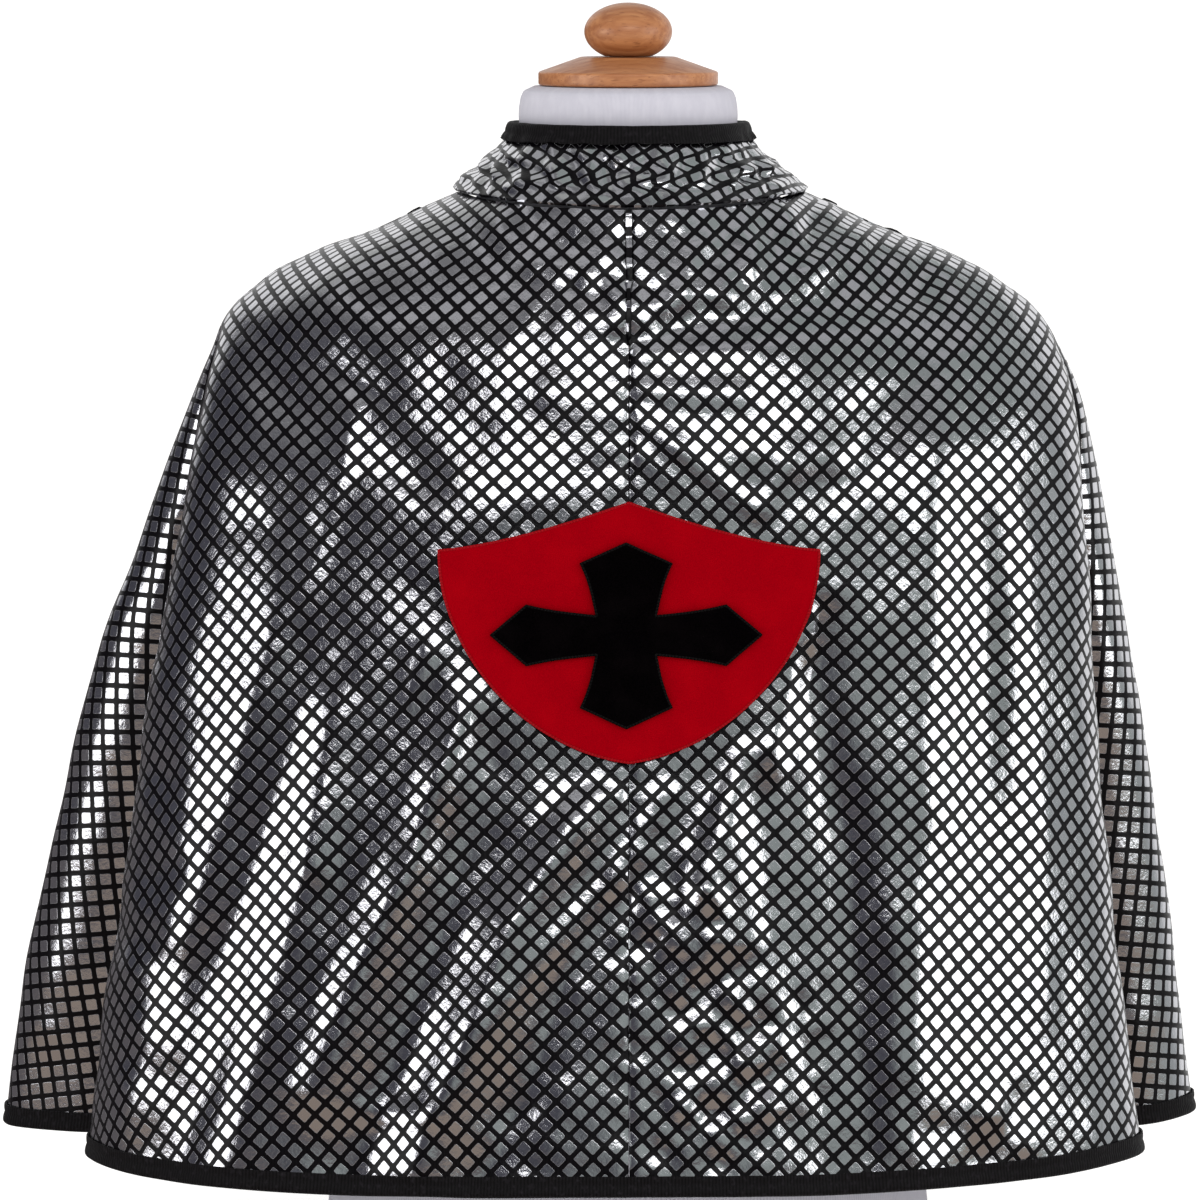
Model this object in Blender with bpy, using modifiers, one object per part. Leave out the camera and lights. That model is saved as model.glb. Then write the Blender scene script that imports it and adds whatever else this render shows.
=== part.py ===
"""A child's reversible cape on a limbless dress form, as closed solids at real size.

Metres, +Z up. The origin is the middle of the form's flat base. The wearer's back, with the shield,
faces -Y, and the wearer's left is at -X. Each piece that a maker would cut is one object.
"""

import math

import bmesh
import bpy
import numpy as np

LEFT, RIGHT = -1, 1

# Cloth
CLOTH = 0.0015
SEAM_GAP = 0.0003
SEAM_SPACE = 0.0006
BINDING_HEIGHT = 0.0068
BINDING_CLOTH = 0.0008
BINDING_EASE = 0.0006
APPLIQUE_CLOTH = 0.0012
APPLIQUE_EASE = 0.0008

# Columns and rows of each wall
BACK_COLUMNS = 26
FRONT_COLUMNS = 22
PANEL_ROWS = 17
ROW_CLOSENESS = 1.15
HEM_ROW = 0.019
COLLAR_COLUMNS = 44
COLLAR_ROWS = 4

# The cape's rings, from the neck seam (share 0 of the cloth's length) to the hem (share 1): the height
# at the back, side and front, the half width to the left and right, the depth to the back and front
RING_NAMES = ("share", "z_back", "z_side", "z_front", "left", "right", "back", "front")
RINGS = (
    (0.00, 0.4525, 0.4570, 0.4410, 0.0720, 0.0740, 0.0750, 0.0640),
    (0.07, 0.4250, 0.4430, 0.4160, 0.1025, 0.1050, 0.0860, 0.0750),
    (0.13, 0.4030, 0.4335, 0.3950, 0.1285, 0.1300, 0.0940, 0.0840),
    (0.19, 0.3800, 0.4215, 0.3735, 0.1520, 0.1540, 0.1005, 0.0920),
    (0.23, 0.3640, 0.4085, 0.3580, 0.1660, 0.1710, 0.1045, 0.0970),
    (0.29, 0.3395, 0.3850, 0.3345, 0.1795, 0.1870, 0.1100, 0.1040),
    (0.45, 0.2780, 0.3150, 0.2750, 0.2050, 0.2065, 0.1200, 0.1160),
    (0.60, 0.2190, 0.2490, 0.2175, 0.2265, 0.2175, 0.1310, 0.1260),
    (0.74, 0.1640, 0.1850, 0.1630, 0.2405, 0.2265, 0.1430, 0.1360),
    (0.87, 0.1125, 0.1250, 0.1125, 0.2535, 0.2360, 0.1545, 0.1450),
    (1.00, 0.0596, 0.0600, 0.0604, 0.2620, 0.2450, 0.1650, 0.1530),
)
# Above this share the cloth lies on the shoulders, and below it the side folds open
SHOULDER_SHARE = 0.24
FOLD_OPENING = 2.6
DEPTH_OPENING = 5.0

# The hem in plan, from the centre back to the front edge, left and right: how far across and along
# each point lies, how far the hem is lifted there, and its angle from the centre back on the shoulders
PLAN_NAMES = (
    "angle", "left_across", "left_along", "left_lift", "right_across", "right_along", "right_lift"
)
PLAN = {
    "centre back": (0, 0.000, -0.165, 0.0000, 0.000, -0.165, 0.0000),
    "back flat": (27, 0.098, -0.162, 0.0000, 0.084, -0.158, 0.0000),
    "back turn": (46, 0.159, -0.147, 0.0004, 0.135, -0.142, 0.0006),
    "back flank": (63, 0.203, -0.122, 0.0024, 0.182, -0.116, 0.0019),
    "back ridge": (78, 0.222, -0.091, 0.0042, 0.211, -0.081, 0.0040),
    "tuck": (86, 0.216, -0.046, 0.0028, 0.208, -0.036, 0.0030),
    "side seam": (89.5, 0.209, 0.000, 0.0000, 0.204, 0.006, 0.0014),
    "strip": (93, 0.236, 0.006, 0.0000, 0.223, 0.012, 0.0025),
    "front ridge": (99, 0.262, 0.022, 0.0000, 0.239, 0.028, 0.0042),
    "front flank": (119, 0.240, 0.088, 0.0000, 0.219, 0.090, 0.0022),
    "front turn": (140, 0.172, 0.135, 0.0000, 0.158, 0.143, 0.0000),
    "front flat": (159, 0.088, 0.153, 0.0000, 0.084, 0.154, 0.0000),
    "front edge": (178, 0.016, 0.153, 0.0000, 0.014, 0.153, 0.0000),
}
SIDE_SEAM = "side seam"

# Soft folds, each along a line from its top to its low end, seen from the back or the front: the two
# ends, the half width at each end, and how far it rises from the cloth (below zero, a trough)
FOLD_NAMES = ("x_top", "z_top", "x_low", "z_low", "wide_top", "wide_low", "rise_top", "rise_low")
BACK_FOLDS = (
    (-0.121, 0.400, -0.076, 0.322, 0.012, 0.012, -0.0010, -0.0020),
    (-0.126, 0.352, -0.205, 0.068, 0.016, 0.020, 0.0000, 0.0050),
    (-0.128, 0.275, -0.192, 0.064, 0.014, 0.018, -0.0010, -0.0050),
    (-0.110, 0.262, -0.166, 0.064, 0.013, 0.017, 0.0010, 0.0060),
    (-0.060, 0.268, -0.124, 0.100, 0.010, 0.013, 0.0020, 0.0050),
    (-0.052, 0.246, -0.105, 0.066, 0.016, 0.022, -0.0015, -0.0070),
    (-0.012, 0.226, -0.088, 0.070, 0.011, 0.016, 0.0020, 0.0065),
    (-0.010, 0.180, -0.060, 0.066, 0.011, 0.015, -0.0010, -0.0050),
    (0.122, 0.400, 0.078, 0.320, 0.014, 0.016, -0.0005, -0.0030),
    (0.074, 0.300, 0.092, 0.062, 0.014, 0.020, -0.0030, -0.0050),
    (0.131, 0.385, 0.107, 0.062, 0.016, 0.020, 0.0010, 0.0050),
    (0.050, 0.236, 0.028, 0.160, 0.010, 0.013, 0.0020, 0.0050),
    (0.046, 0.186, 0.060, 0.066, 0.011, 0.014, 0.0010, 0.0025),
)
FRONT_FOLDS = (
    (-0.150, 0.345, -0.178, 0.062, 0.022, 0.028, -0.0010, -0.0120),
    (-0.112, 0.340, -0.126, 0.062, 0.018, 0.024, 0.0020, 0.0080),
    (-0.068, 0.335, -0.078, 0.062, 0.016, 0.022, -0.0010, -0.0100),
    (0.142, 0.345, 0.166, 0.062, 0.022, 0.028, -0.0010, -0.0120),
    (0.100, 0.335, 0.116, 0.062, 0.018, 0.024, 0.0020, 0.0080),
    (0.060, 0.330, 0.070, 0.062, 0.016, 0.022, -0.0010, -0.0100),
)
# Angles from the centre back between which the folds of a face die out towards the side seam
FOLDS_WHOLE, FOLDS_GONE = 56, 84

# Collar rings, from its seam (share 0) to its top edge, in the columns of the cape's rings. Soft waves
# run between the two.
COLLAR = (
    (0.00, 0.4545, 0.4590, 0.4430, 0.0735, 0.0755, 0.0762, 0.0655),
    (0.35, 0.4625, 0.4655, 0.4525, 0.0660, 0.0670, 0.0690, 0.0610),
    (0.70, 0.4735, 0.4748, 0.4660, 0.0552, 0.0556, 0.0595, 0.0555),
    (0.85, 0.4785, 0.4792, 0.4740, 0.0510, 0.0512, 0.0552, 0.0528),
    (1.00, 0.4848, 0.4850, 0.4825, 0.0494, 0.0496, 0.0530, 0.0516),
)
COLLAR_WAVES = 7
COLLAR_WAVE_RISE = 0.0010
# The collar's left end laps over its right end at the front
COLLAR_END = 179
COLLAR_LAP_ANGLE = 22
COLLAR_LAP_LIFT = 0.0048
COLLAR_LAP_EASE = 34

# Shield: a heater shield with a peak, and a bottom that is part ellipse and part straight
SHIELD_HALF_WIDTH = 0.0775
SHIELD_CORNER_HEIGHT = 0.0855
SHIELD_PEAK_RISE = 0.0195
SHIELD_PEAK_CURVE = 1.4
SHIELD_POINTED = 0.12
SHIELD_TIP_Z = 0.2300
SHIELD_MIDDLE = 0.6
SHIELD_EDGE_POINTS = 20
# Cross: flared arms with pointed ends, level and upright
CROSS_X = -0.0012
CROSS_Z = SHIELD_TIP_Z + 0.0512
CROSS_ARM_NAMES = ("length", "flare_at", "flare", "waist")
CROSS_LEVEL_ARM = (0.0550, 0.0405, 0.0122, 0.0080)
CROSS_UPRIGHT_ARM = (0.0374, 0.0290, 0.0186, 0.0122)
CROSS_HOLLOW = 0.35
CROSS_SIDE_POINTS = 3
APPLIQUE_RINGS = 6
# Round the shield the cloth lies calm, because the patch stiffens it
CALM_MARGIN = 0.013
CALM_EDGE = 0.018

# Dress form: sections of the torso and neck, from the base up
FORM_NAMES = ("z", "half_width", "back", "front", "squareness")
FORM = (
    (0.0000, 0.1190, 0.0930, 0.0950, 2.4),
    (0.0060, 0.1230, 0.0965, 0.0985, 2.4),
    (0.0550, 0.1240, 0.0970, 0.0990, 2.4),
    (0.1200, 0.1150, 0.0890, 0.0920, 2.4),
    (0.1900, 0.1045, 0.0800, 0.0840, 2.4),
    (0.2500, 0.1110, 0.0825, 0.0885, 2.4),
    (0.3100, 0.1240, 0.0890, 0.0945, 2.4),
    (0.3450, 0.1380, 0.0880, 0.0900, 2.3),
    (0.3700, 0.1510, 0.0820, 0.0820, 2.3),
    (0.3860, 0.1570, 0.0765, 0.0745, 2.3),
    (0.3980, 0.1580, 0.0710, 0.0680, 2.2),
    (0.4090, 0.1540, 0.0660, 0.0620, 2.2),
    (0.4190, 0.1435, 0.0620, 0.0575, 2.1),
    (0.4300, 0.1200, 0.0590, 0.0540, 2.1),
    (0.4400, 0.0960, 0.0560, 0.0520, 2.0),
    (0.4500, 0.0730, 0.0530, 0.0500, 2.0),
    (0.4580, 0.0590, 0.0505, 0.0485, 2.0),
    (0.4660, 0.0510, 0.0480, 0.0470, 2.0),
    (0.4780, 0.0458, 0.0458, 0.0458, 2.0),
    (0.4930, 0.0456, 0.0456, 0.0456, 2.0),
    (0.4988, 0.0440, 0.0440, 0.0440, 2.0),
    (0.5012, 0.0395, 0.0395, 0.0395, 2.0),
)
FORM_SIDES = 44

# Neck cap and finial, both turned
CAP_Z = 0.5015
CAP_RADIUS = 0.0376
CAP_WALL = 0.0048
CAP_HEIGHT = 0.0118
CAP_TOP_RADIUS = 0.0205
CAP_EASED = 0.0008
FINIAL_RADIUS = 0.0184
FINIAL_HEIGHT = 0.0224
FINIAL_FOOT_RADIUS = 0.0098
TURNED_SIDES = 36
FINIAL_POINTS = 11

# Finishes: sRGB colour, roughness, metallic
FINISHES = {
    "foil_cloth": ((0.62, 0.62, 0.65), 0.30, 0.85),
    "black_binding": ((0.06, 0.06, 0.07), 0.70, 0.0),
    "red_felt": ((0.62, 0.01, 0.05), 0.85, 0.0),
    "black_felt": ((0.02, 0.02, 0.02), 0.90, 0.0),
    "white_jersey": ((0.86, 0.86, 0.89), 0.85, 0.0),
    "beech": ((0.74, 0.46, 0.27), 0.40, 0.0),
}


def column(table, names, name):
    """One named column of a table."""
    return np.array([row[names.index(name)] for row in table], float)


def eased(at, knots, values):
    """A smooth curve through a table's values: cubic stretches that share their slopes at the knots."""
    slopes = np.gradient(values, knots)
    low = np.clip(np.searchsorted(knots, at, side="right") - 1, 0, len(knots) - 2)
    span = knots[low + 1] - knots[low]
    t = (at - knots[low]) / span
    rise = t * t * (3 - 2 * t)
    leave = t * (1 - t) ** 2 * span * slopes[low]
    arrive = t * t * (t - 1) * span * slopes[low + 1]
    return values[low] + (values[low + 1] - values[low]) * rise + leave + arrive


def smooth_step(value, start, end):
    """0 before start, 1 after end, and an even S between them."""
    t = np.clip((value - start) / (end - start), 0, 1)
    return t * t * (3 - 2 * t)


def unit(vectors):
    return vectors / np.linalg.norm(vectors, axis=-1, keepdims=True)


def plan_of(side):
    """Share of the hem's length, angle, across, along and lift of each point of one side's plan."""
    rows = list(PLAN.values())
    name = "left" if side == LEFT else "right"
    across = column(rows, PLAN_NAMES, name + "_across")
    along = column(rows, PLAN_NAMES, name + "_along")
    steps = np.hypot(np.diff(across), np.diff(along))
    share = np.concatenate([[0], np.cumsum(steps)]) / steps.sum()
    return share, column(rows, PLAN_NAMES, "angle"), across, along, column(rows, PLAN_NAMES, name + "_lift")


def seam_share(side):
    """Where the side seam lies, as a share of the hem from the centre back."""
    return plan_of(side)[0][list(PLAN).index(SIDE_SEAM)]


def ring_size(name, share, table=RINGS):
    return eased(share, column(table, RING_NAMES, "share"), column(table, RING_NAMES, name))


def ring_height(angle, share, table):
    """The height of a ring: from its side's to its back's or front's, by the square of the cosine."""
    side_z = ring_size("z_side", share, table)
    end_z = np.where(
        np.cos(angle) > 0, ring_size("z_back", share, table), ring_size("z_front", share, table)
    )
    return side_z + (end_z - side_z) * np.cos(angle) ** 2


def plain_point(side, around, share):
    """The cape with its side folds only: an oval on the shoulders that opens into the plan of the hem."""
    hem_share, angles, across, along, lift = plan_of(side)
    angle = np.radians(eased(around, hem_share, angles))
    width_name = "left" if side == LEFT else "right"
    width = ring_size(width_name, share)
    back, front = ring_size("back", share), ring_size("front", share)
    oval_x = width * np.sin(angle)
    oval_y = -np.where(np.cos(angle) > 0, back, front) * np.cos(angle)
    plan_x = eased(around, hem_share, across) * width / RINGS[-1][RING_NAMES.index(width_name)]
    plan_y = eased(around, hem_share, along)
    back_scale = back / RINGS[-1][RING_NAMES.index("back")]
    front_scale = front / RINGS[-1][RING_NAMES.index("front")]
    plan_y = plan_y * np.where(plan_y < 0, back_scale, front_scale)
    hanging = np.clip((share - SHOULDER_SHARE) / (1 - SHOULDER_SHARE), 0, 1)
    opened = 1 - (1 - hanging) ** FOLD_OPENING
    x = side * (oval_x + (plan_x - oval_x) * opened)
    y = oval_y + (plan_y - oval_y) * (1 - (1 - hanging) ** DEPTH_OPENING)
    z = ring_height(angle, share, RINGS) + eased(around, hem_share, lift) * opened
    return np.stack([x, y, z], axis=-1), np.degrees(angle)


def outward(surface, side, around, share):
    """A surface's unit normal, pointing away from the wearer, from two small steps on it."""
    step = 1e-4
    by_share = surface(side, around, share + step) - surface(side, around, share - step)
    by_around = surface(side, around + step, share) - surface(side, around - step, share)
    return unit(side * np.cross(by_share, by_around))


def shield_edge(across):
    """Heights of the shield's bottom and top edges above its tip, at a share of its half width."""
    q = np.abs(across)
    ellipse = 1 - np.sqrt(np.clip(1 - q * q, 0, 1))
    low = SHIELD_CORNER_HEIGHT * ((1 - SHIELD_POINTED) * ellipse + SHIELD_POINTED * q)
    high = SHIELD_CORNER_HEIGHT + SHIELD_PEAK_RISE * (1 - q) ** SHIELD_PEAK_CURVE
    return low, high


def calm(x, z):
    """0 under the shield, rising to 1 past its edge."""
    low, high = shield_edge(np.clip(x / SHIELD_HALF_WIDTH, -1, 1))
    up = z - SHIELD_TIP_Z
    beyond = np.maximum(np.abs(x) - SHIELD_HALF_WIDTH, np.maximum(low - up, up - high))
    return smooth_step(beyond, CALM_MARGIN, CALM_MARGIN + CALM_EDGE)


def fold_rise(x, z, folds):
    """Sum of the soft folds: each is a bell across its line, with its rise and width eased along it."""
    total = np.zeros_like(x)
    for row in folds:
        fold = dict(zip(FOLD_NAMES, row))
        run_x, run_z = fold["x_low"] - fold["x_top"], fold["z_low"] - fold["z_top"]
        from_x, from_z = x - fold["x_top"], z - fold["z_top"]
        along = np.clip((from_x * run_x + from_z * run_z) / (run_x**2 + run_z**2), 0, 1)
        off = np.hypot(from_x - along * run_x, from_z - along * run_z)
        wide = fold["wide_top"] + (fold["wide_low"] - fold["wide_top"]) * along
        rise = fold["rise_top"] + (fold["rise_low"] - fold["rise_top"]) * smooth_step(along, 0, 1)
        total += rise * np.exp(-((off / wide) ** 2))
    return total


def cape_point(side, around, share):
    """The cape's outer face: the plain form, moved out along its normal by the folds of its face."""
    base, angle = plain_point(side, around, share)
    normal = outward(lambda *at: plain_point(*at)[0], side, around, share)
    from_end = np.minimum(angle, 180 - angle)
    strength = 1 - smooth_step(from_end, FOLDS_WHOLE, FOLDS_GONE)
    x, z = base[..., 0], base[..., 2]
    on_back = fold_rise(x, z, BACK_FOLDS) * calm(x, z)
    rise = np.where(angle < 90, on_back, fold_rise(x, z, FRONT_FOLDS))
    return base + normal * (rise * strength)[..., None]


def collar_point(around, share):
    """The collar's outer face. Around is an angle from the centre back, negative on the left."""
    angle = np.radians(around)
    width = np.where(around < 0, ring_size("left", share, COLLAR), ring_size("right", share, COLLAR))
    back, front = ring_size("back", share, COLLAR), ring_size("front", share, COLLAR)
    lifted = COLLAR_LAP_LIFT * smooth_step(-around, 180 - COLLAR_LAP_EASE, COLLAR_END)
    wave = COLLAR_WAVE_RISE * np.sin(COLLAR_WAVES * angle) * np.sin(math.pi * share)
    out = lifted + wave
    x = (width + out) * np.sin(angle)
    y = -(np.where(np.cos(angle) > 0, back, front) + out) * np.cos(angle)
    return np.stack([x, y, ring_height(angle, share, COLLAR)], axis=-1)


def finish(name):
    """A finish as a material: sRGB colours made linear."""
    colour, roughness, metallic = FINISHES[name]
    material = bpy.data.materials.get(name) or bpy.data.materials.new(name)
    material.use_nodes = True
    shader = material.node_tree.nodes["Principled BSDF"]
    shader.inputs["Base Color"].default_value = [*(c**2.2 for c in colour), 1]
    shader.inputs["Roughness"].default_value = roughness
    shader.inputs["Metallic"].default_value = metallic
    return material


def add_object(name, mesh, finish_name, collection):
    piece = bpy.data.objects.new(name, mesh)
    piece.data.materials.append(finish(finish_name))
    mesh.shade_smooth()
    mesh.set_sharp_from_angle(angle=math.radians(40))
    collection.objects.link(piece)
    return piece


def add_wall(name, points, thickness, finish_name, collection):
    """A cloth wall: a grid laid on rows of outer points, given its thickness inwards by Solidify."""
    rows, columns = points.shape[:2]
    bm = bmesh.new()
    bmesh.ops.create_grid(bm, x_segments=columns - 1, y_segments=rows - 1, size=1)
    bm.verts.ensure_lookup_table()
    for vert, place in zip(bm.verts, points.reshape(-1, 3)):
        vert.co = place
    bmesh.ops.reverse_faces(bm, faces=bm.faces)
    mesh = bpy.data.meshes.new(name)
    bm.to_mesh(mesh)
    bm.free()
    piece = add_object(name, mesh, finish_name, collection)
    solid = piece.modifiers.new("cloth", "SOLIDIFY")
    solid.thickness = thickness
    solid.offset = -1
    return piece


def add_loft(name, sections, finish_name, collection):
    """A solid through closed sections of equal point counts, with both ends filled."""
    count, sides = sections.shape[:2]
    bm = bmesh.new()
    rings = [[bm.verts.new(place) for place in section] for section in sections]
    for low, high in zip(rings, rings[1:]):
        for i in range(sides):
            j = (i + 1) % sides
            bm.faces.new((low[i], low[j], high[j], high[i]))
    bm.faces.new(reversed(rings[0]))
    bm.faces.new(rings[count - 1])
    bmesh.ops.recalc_face_normals(bm, faces=bm.faces)
    mesh = bpy.data.meshes.new(name)
    bm.to_mesh(mesh)
    bm.free()
    return add_object(name, mesh, finish_name, collection)


def add_turned(name, profile, finish_name, collection):
    """A turned solid: a half profile of (radius, height) points, top to bottom, spun round +Z."""
    mesh = bpy.data.meshes.new(name)
    edges = [(i, i + 1) for i in range(len(profile) - 1)]
    mesh.from_pydata([(radius, 0, height) for radius, height in profile], edges, [])
    piece = add_object(name, mesh, finish_name, collection)
    screw = piece.modifiers.new("turned", "SCREW")
    screw.steps = screw.render_steps = TURNED_SIDES
    screw.use_merge_vertices = True
    screw.merge_threshold = 1e-5
    screw.use_smooth_shade = True
    return piece


def panel_rows():
    """Shares of the cloth's length at a panel's rows: closer on the shoulders, one under the hem's strip."""
    even = np.linspace(0, 1, PANEL_ROWS)
    return np.append((1 - HEM_ROW) * even**ROW_CLOSENESS, 1)


def panel_points(side, front):
    """Outer points of a panel, in columns to the viewer's right. Each half of a seam stands off from it."""
    rows = panel_rows()
    seam = seam_share(side)
    step = 1e-3
    stretch = cape_point(side, seam + step, rows) - cape_point(side, seam - step, rows)
    off = 0.5 * SEAM_SPACE / (np.linalg.norm(stretch, axis=-1) / (2 * step))
    even = np.linspace(0, 1, (FRONT_COLUMNS if front else BACK_COLUMNS) + 1)
    first = seam + off if front else np.zeros_like(rows)
    last = np.ones_like(rows) if front else seam - off
    around = first[:, None] + (last - first)[:, None] * even
    points = cape_point(side, around, np.broadcast_to(rows[:, None], around.shape))
    if not front:
        points[:, 0, 0] = side * 0.5 * SEAM_SPACE
    return points if side == RIGHT else points[:, ::-1]


def band_section(place, out, over):
    """A binding's folded section round a wall's edge: one axis out of the wall, one past its edge."""
    near, far = BINDING_EASE, BINDING_EASE + BINDING_CLOTH
    section = (
        (far, -BINDING_HEIGHT),
        (far, far),
        (-CLOTH - far, far),
        (-CLOTH - far, -BINDING_HEIGHT),
        (-CLOTH - near, -BINDING_HEIGHT),
        (-CLOTH - near, near),
        (near, near),
        (near, -BINDING_HEIGHT),
    )
    return np.stack([place + out * n + over * d for n, d in section], axis=-2)


def mitred_out(edge, over, turn):
    """Vectors that move a wall's edge out by one unit of its faces, mitred where two faces meet."""
    faces = unit(turn * np.cross(0.5 * (over[:-1] + over[1:]), np.diff(edge, axis=0)))
    before = np.concatenate([faces[:1], faces])
    after = np.concatenate([faces, faces[-1:]])
    return (before + after) / (1 + np.sum(before * after, axis=-1, keepdims=True))


def add_hem_binding(panels, collection):
    """One strip round the whole hem, from the left front edge by the back to the right front edge."""
    rows = panels[LEFT, True][-2:]
    for key in ((LEFT, False), (RIGHT, False), (RIGHT, True)):
        following = panels[key][-2:]
        seam = (rows[:, -1:] + following[:, :1]) / 2
        rows = np.concatenate([rows[:, :-1], seam, following[:, 1:]], axis=1)
    edge = rows[1].copy()
    over = unit(rows[1] - rows[0])
    past = BINDING_EASE + BINDING_CLOTH
    edge[0] += unit(edge[0] - edge[1]) * past
    edge[-1] += unit(edge[-1] - edge[-2]) * past
    sections = band_section(edge, mitred_out(edge, over, 1), over)
    add_loft("hem_binding", sections, "black_binding", collection)


def add_front_binding(side, panels, collection):
    """A strip down one front edge, from the collar to the top of the hem's strip."""
    points = panels[side, True]
    edge, inside = (points[:, -1], points[:, -2]) if side == RIGHT else (points[:, 0], points[:, 1])
    edge = edge.copy()
    over = unit(edge - inside)
    heights = edge[:, 2]
    stop = heights[-1] + BINDING_HEIGHT + 2 * SEAM_GAP
    share = (heights[-2] - stop) / (heights[-2] - heights[-1])
    edge[-1] = edge[-2] + (edge[-1] - edge[-2]) * share
    name = "front_binding_" + ("left" if side == LEFT else "right")
    sections = band_section(edge, mitred_out(edge, over, -side), over)
    add_loft(name, sections, "black_binding", collection)


def collar_points():
    start = -(180 + COLLAR_LAP_ANGLE)
    around, share = np.meshgrid(
        np.linspace(start, COLLAR_END, COLLAR_COLUMNS + 1), np.linspace(1, 0, COLLAR_ROWS + 1)
    )
    return collar_point(around, share)


def add_collar(collection):
    """The stand collar, and the strip over its top edge."""
    points = collar_points()
    add_wall("collar", points, CLOTH, "foil_cloth", collection)
    edge, below = points[0], points[1]
    over = unit(edge - below)
    sections = band_section(edge, mitred_out(edge, over, -1), over)
    add_loft("collar_binding", sections, "black_binding", collection)


def back_depth(panels):
    """How far back the cloth lies at a place across and a height: read along each row, then between rows."""
    joined = np.concatenate([panels[LEFT, False], panels[RIGHT, False]], axis=1)

    def depth(x, z):
        found = np.empty_like(x)
        for i, (across, height) in enumerate(zip(x, z)):
            row_z = [np.interp(across, row[:, 0], row[:, 2]) for row in joined]
            row_y = [np.interp(across, row[:, 0], row[:, 1]) for row in joined]
            found[i] = np.interp(height, row_z[::-1], row_y[::-1])
        return found

    return depth


def applique_points(outline, centre, depth, out):
    """A patch laid on the back: rings from its centre to its outline, moved out of the cloth by out."""
    rings = np.linspace(0, 1, APPLIQUE_RINGS + 1)[1:, None, None]
    flat = np.concatenate([[centre], (centre + (outline - centre) * rings).reshape(-1, 2)])
    x, z = flat[:, 0], flat[:, 1]
    step = 0.004
    slope_x = (depth(x + step, z) - depth(x - step, z)) / (2 * step)
    slope_z = (depth(x, z + step) - depth(x, z - step)) / (2 * step)
    normal = unit(np.stack([slope_x, -np.ones_like(x), slope_z], axis=-1))
    return np.stack([x, depth(x, z), z], axis=-1) + normal * out


def add_applique(name, outline, centre, depth, out, finish_name, collection):
    """A felt patch on the cloth: a fan of faces and rings of faces round it, thickened by Solidify."""
    points = applique_points(outline, np.array(centre), depth, out + APPLIQUE_CLOTH)
    sides = len(outline)
    bm = bmesh.new()
    verts = [bm.verts.new(place) for place in points]
    rings = [verts[1 + i * sides : 1 + (i + 1) * sides] for i in range(APPLIQUE_RINGS)]
    for i in range(sides):
        j = (i + 1) % sides
        bm.faces.new((verts[0], rings[0][i], rings[0][j]))
        for inner, outer in zip(rings, rings[1:]):
            bm.faces.new((inner[i], outer[i], outer[j], inner[j]))
    mesh = bpy.data.meshes.new(name)
    bm.to_mesh(mesh)
    bm.free()
    piece = add_object(name, mesh, finish_name, collection)
    solid = piece.modifiers.new("felt", "SOLIDIFY")
    solid.thickness = APPLIQUE_CLOTH
    solid.offset = -1


def shield_outline():
    """The shield's edge, counter-clockwise from its left corner by the tip to the right corner and back."""
    across = np.sin(np.linspace(-math.pi / 2, math.pi / 2, SHIELD_EDGE_POINTS + 1))
    low, high = shield_edge(across)
    x = SHIELD_HALF_WIDTH * np.concatenate([across, across[-2:0:-1]])
    z = SHIELD_TIP_Z + np.concatenate([low, high[-2:0:-1]])
    return np.stack([x, z], axis=-1)


def cross_arm(arm, next_waist):
    """Half of an arm that points along +x, from the hollow between two arms to its tip."""
    length, flare_at, flare, waist = arm
    t = np.linspace(0, 1, CROSS_SIDE_POINTS + 1)
    x = next_waist + (flare_at - next_waist) * t
    y = waist + (flare - waist) * ((1 - CROSS_HOLLOW) * t + CROSS_HOLLOW * t * t * t)
    return np.stack([np.append(x, length), np.append(y, 0)], axis=-1)


def cross_outline():
    """The cross, counter-clockwise from its right tip: the two halves of each arm in turn."""
    level = cross_arm(CROSS_LEVEL_ARM, CROSS_UPRIGHT_ARM[CROSS_ARM_NAMES.index("waist")])
    upright = cross_arm(CROSS_UPRIGHT_ARM, CROSS_LEVEL_ARM[CROSS_ARM_NAMES.index("waist")])[:, ::-1]
    quarter = np.concatenate([level[:0:-1], upright])
    top = np.concatenate([quarter, quarter[-2::-1] * (-1, 1)])
    whole = np.concatenate([top, top[-2:0:-1] * (1, -1)])
    return whole + (CROSS_X, CROSS_Z)


def add_appliques(panels, collection):
    depth = back_depth(panels)
    shield_middle = (0, SHIELD_TIP_Z + SHIELD_MIDDLE * SHIELD_CORNER_HEIGHT)
    add_applique("shield", shield_outline(), shield_middle, depth, APPLIQUE_EASE, "red_felt", collection)
    on_shield = 2 * APPLIQUE_EASE + APPLIQUE_CLOTH
    add_applique("cross", cross_outline(), (CROSS_X, CROSS_Z), depth, on_shield, "black_felt", collection)


def add_form(collection):
    """The torso and neck: rounded sections, wider than deep, from the flat base to the top of the neck."""
    angle = np.linspace(0, 2 * math.pi, FORM_SIDES, endpoint=False)
    across, along = np.cos(angle), np.sin(angle)
    sections = []
    for row in FORM:
        section = dict(zip(FORM_NAMES, row))
        bend = 2 / section["squareness"]
        x = section["half_width"] * np.sign(across) * np.abs(across) ** bend
        depth = np.where(along < 0, section["back"], section["front"])
        y = depth * np.sign(along) * np.abs(along) ** bend
        sections.append(np.stack([x, y, np.full(FORM_SIDES, section["z"])], axis=-1))
    add_loft("form_torso", np.array(sections), "white_jersey", collection)


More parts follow.
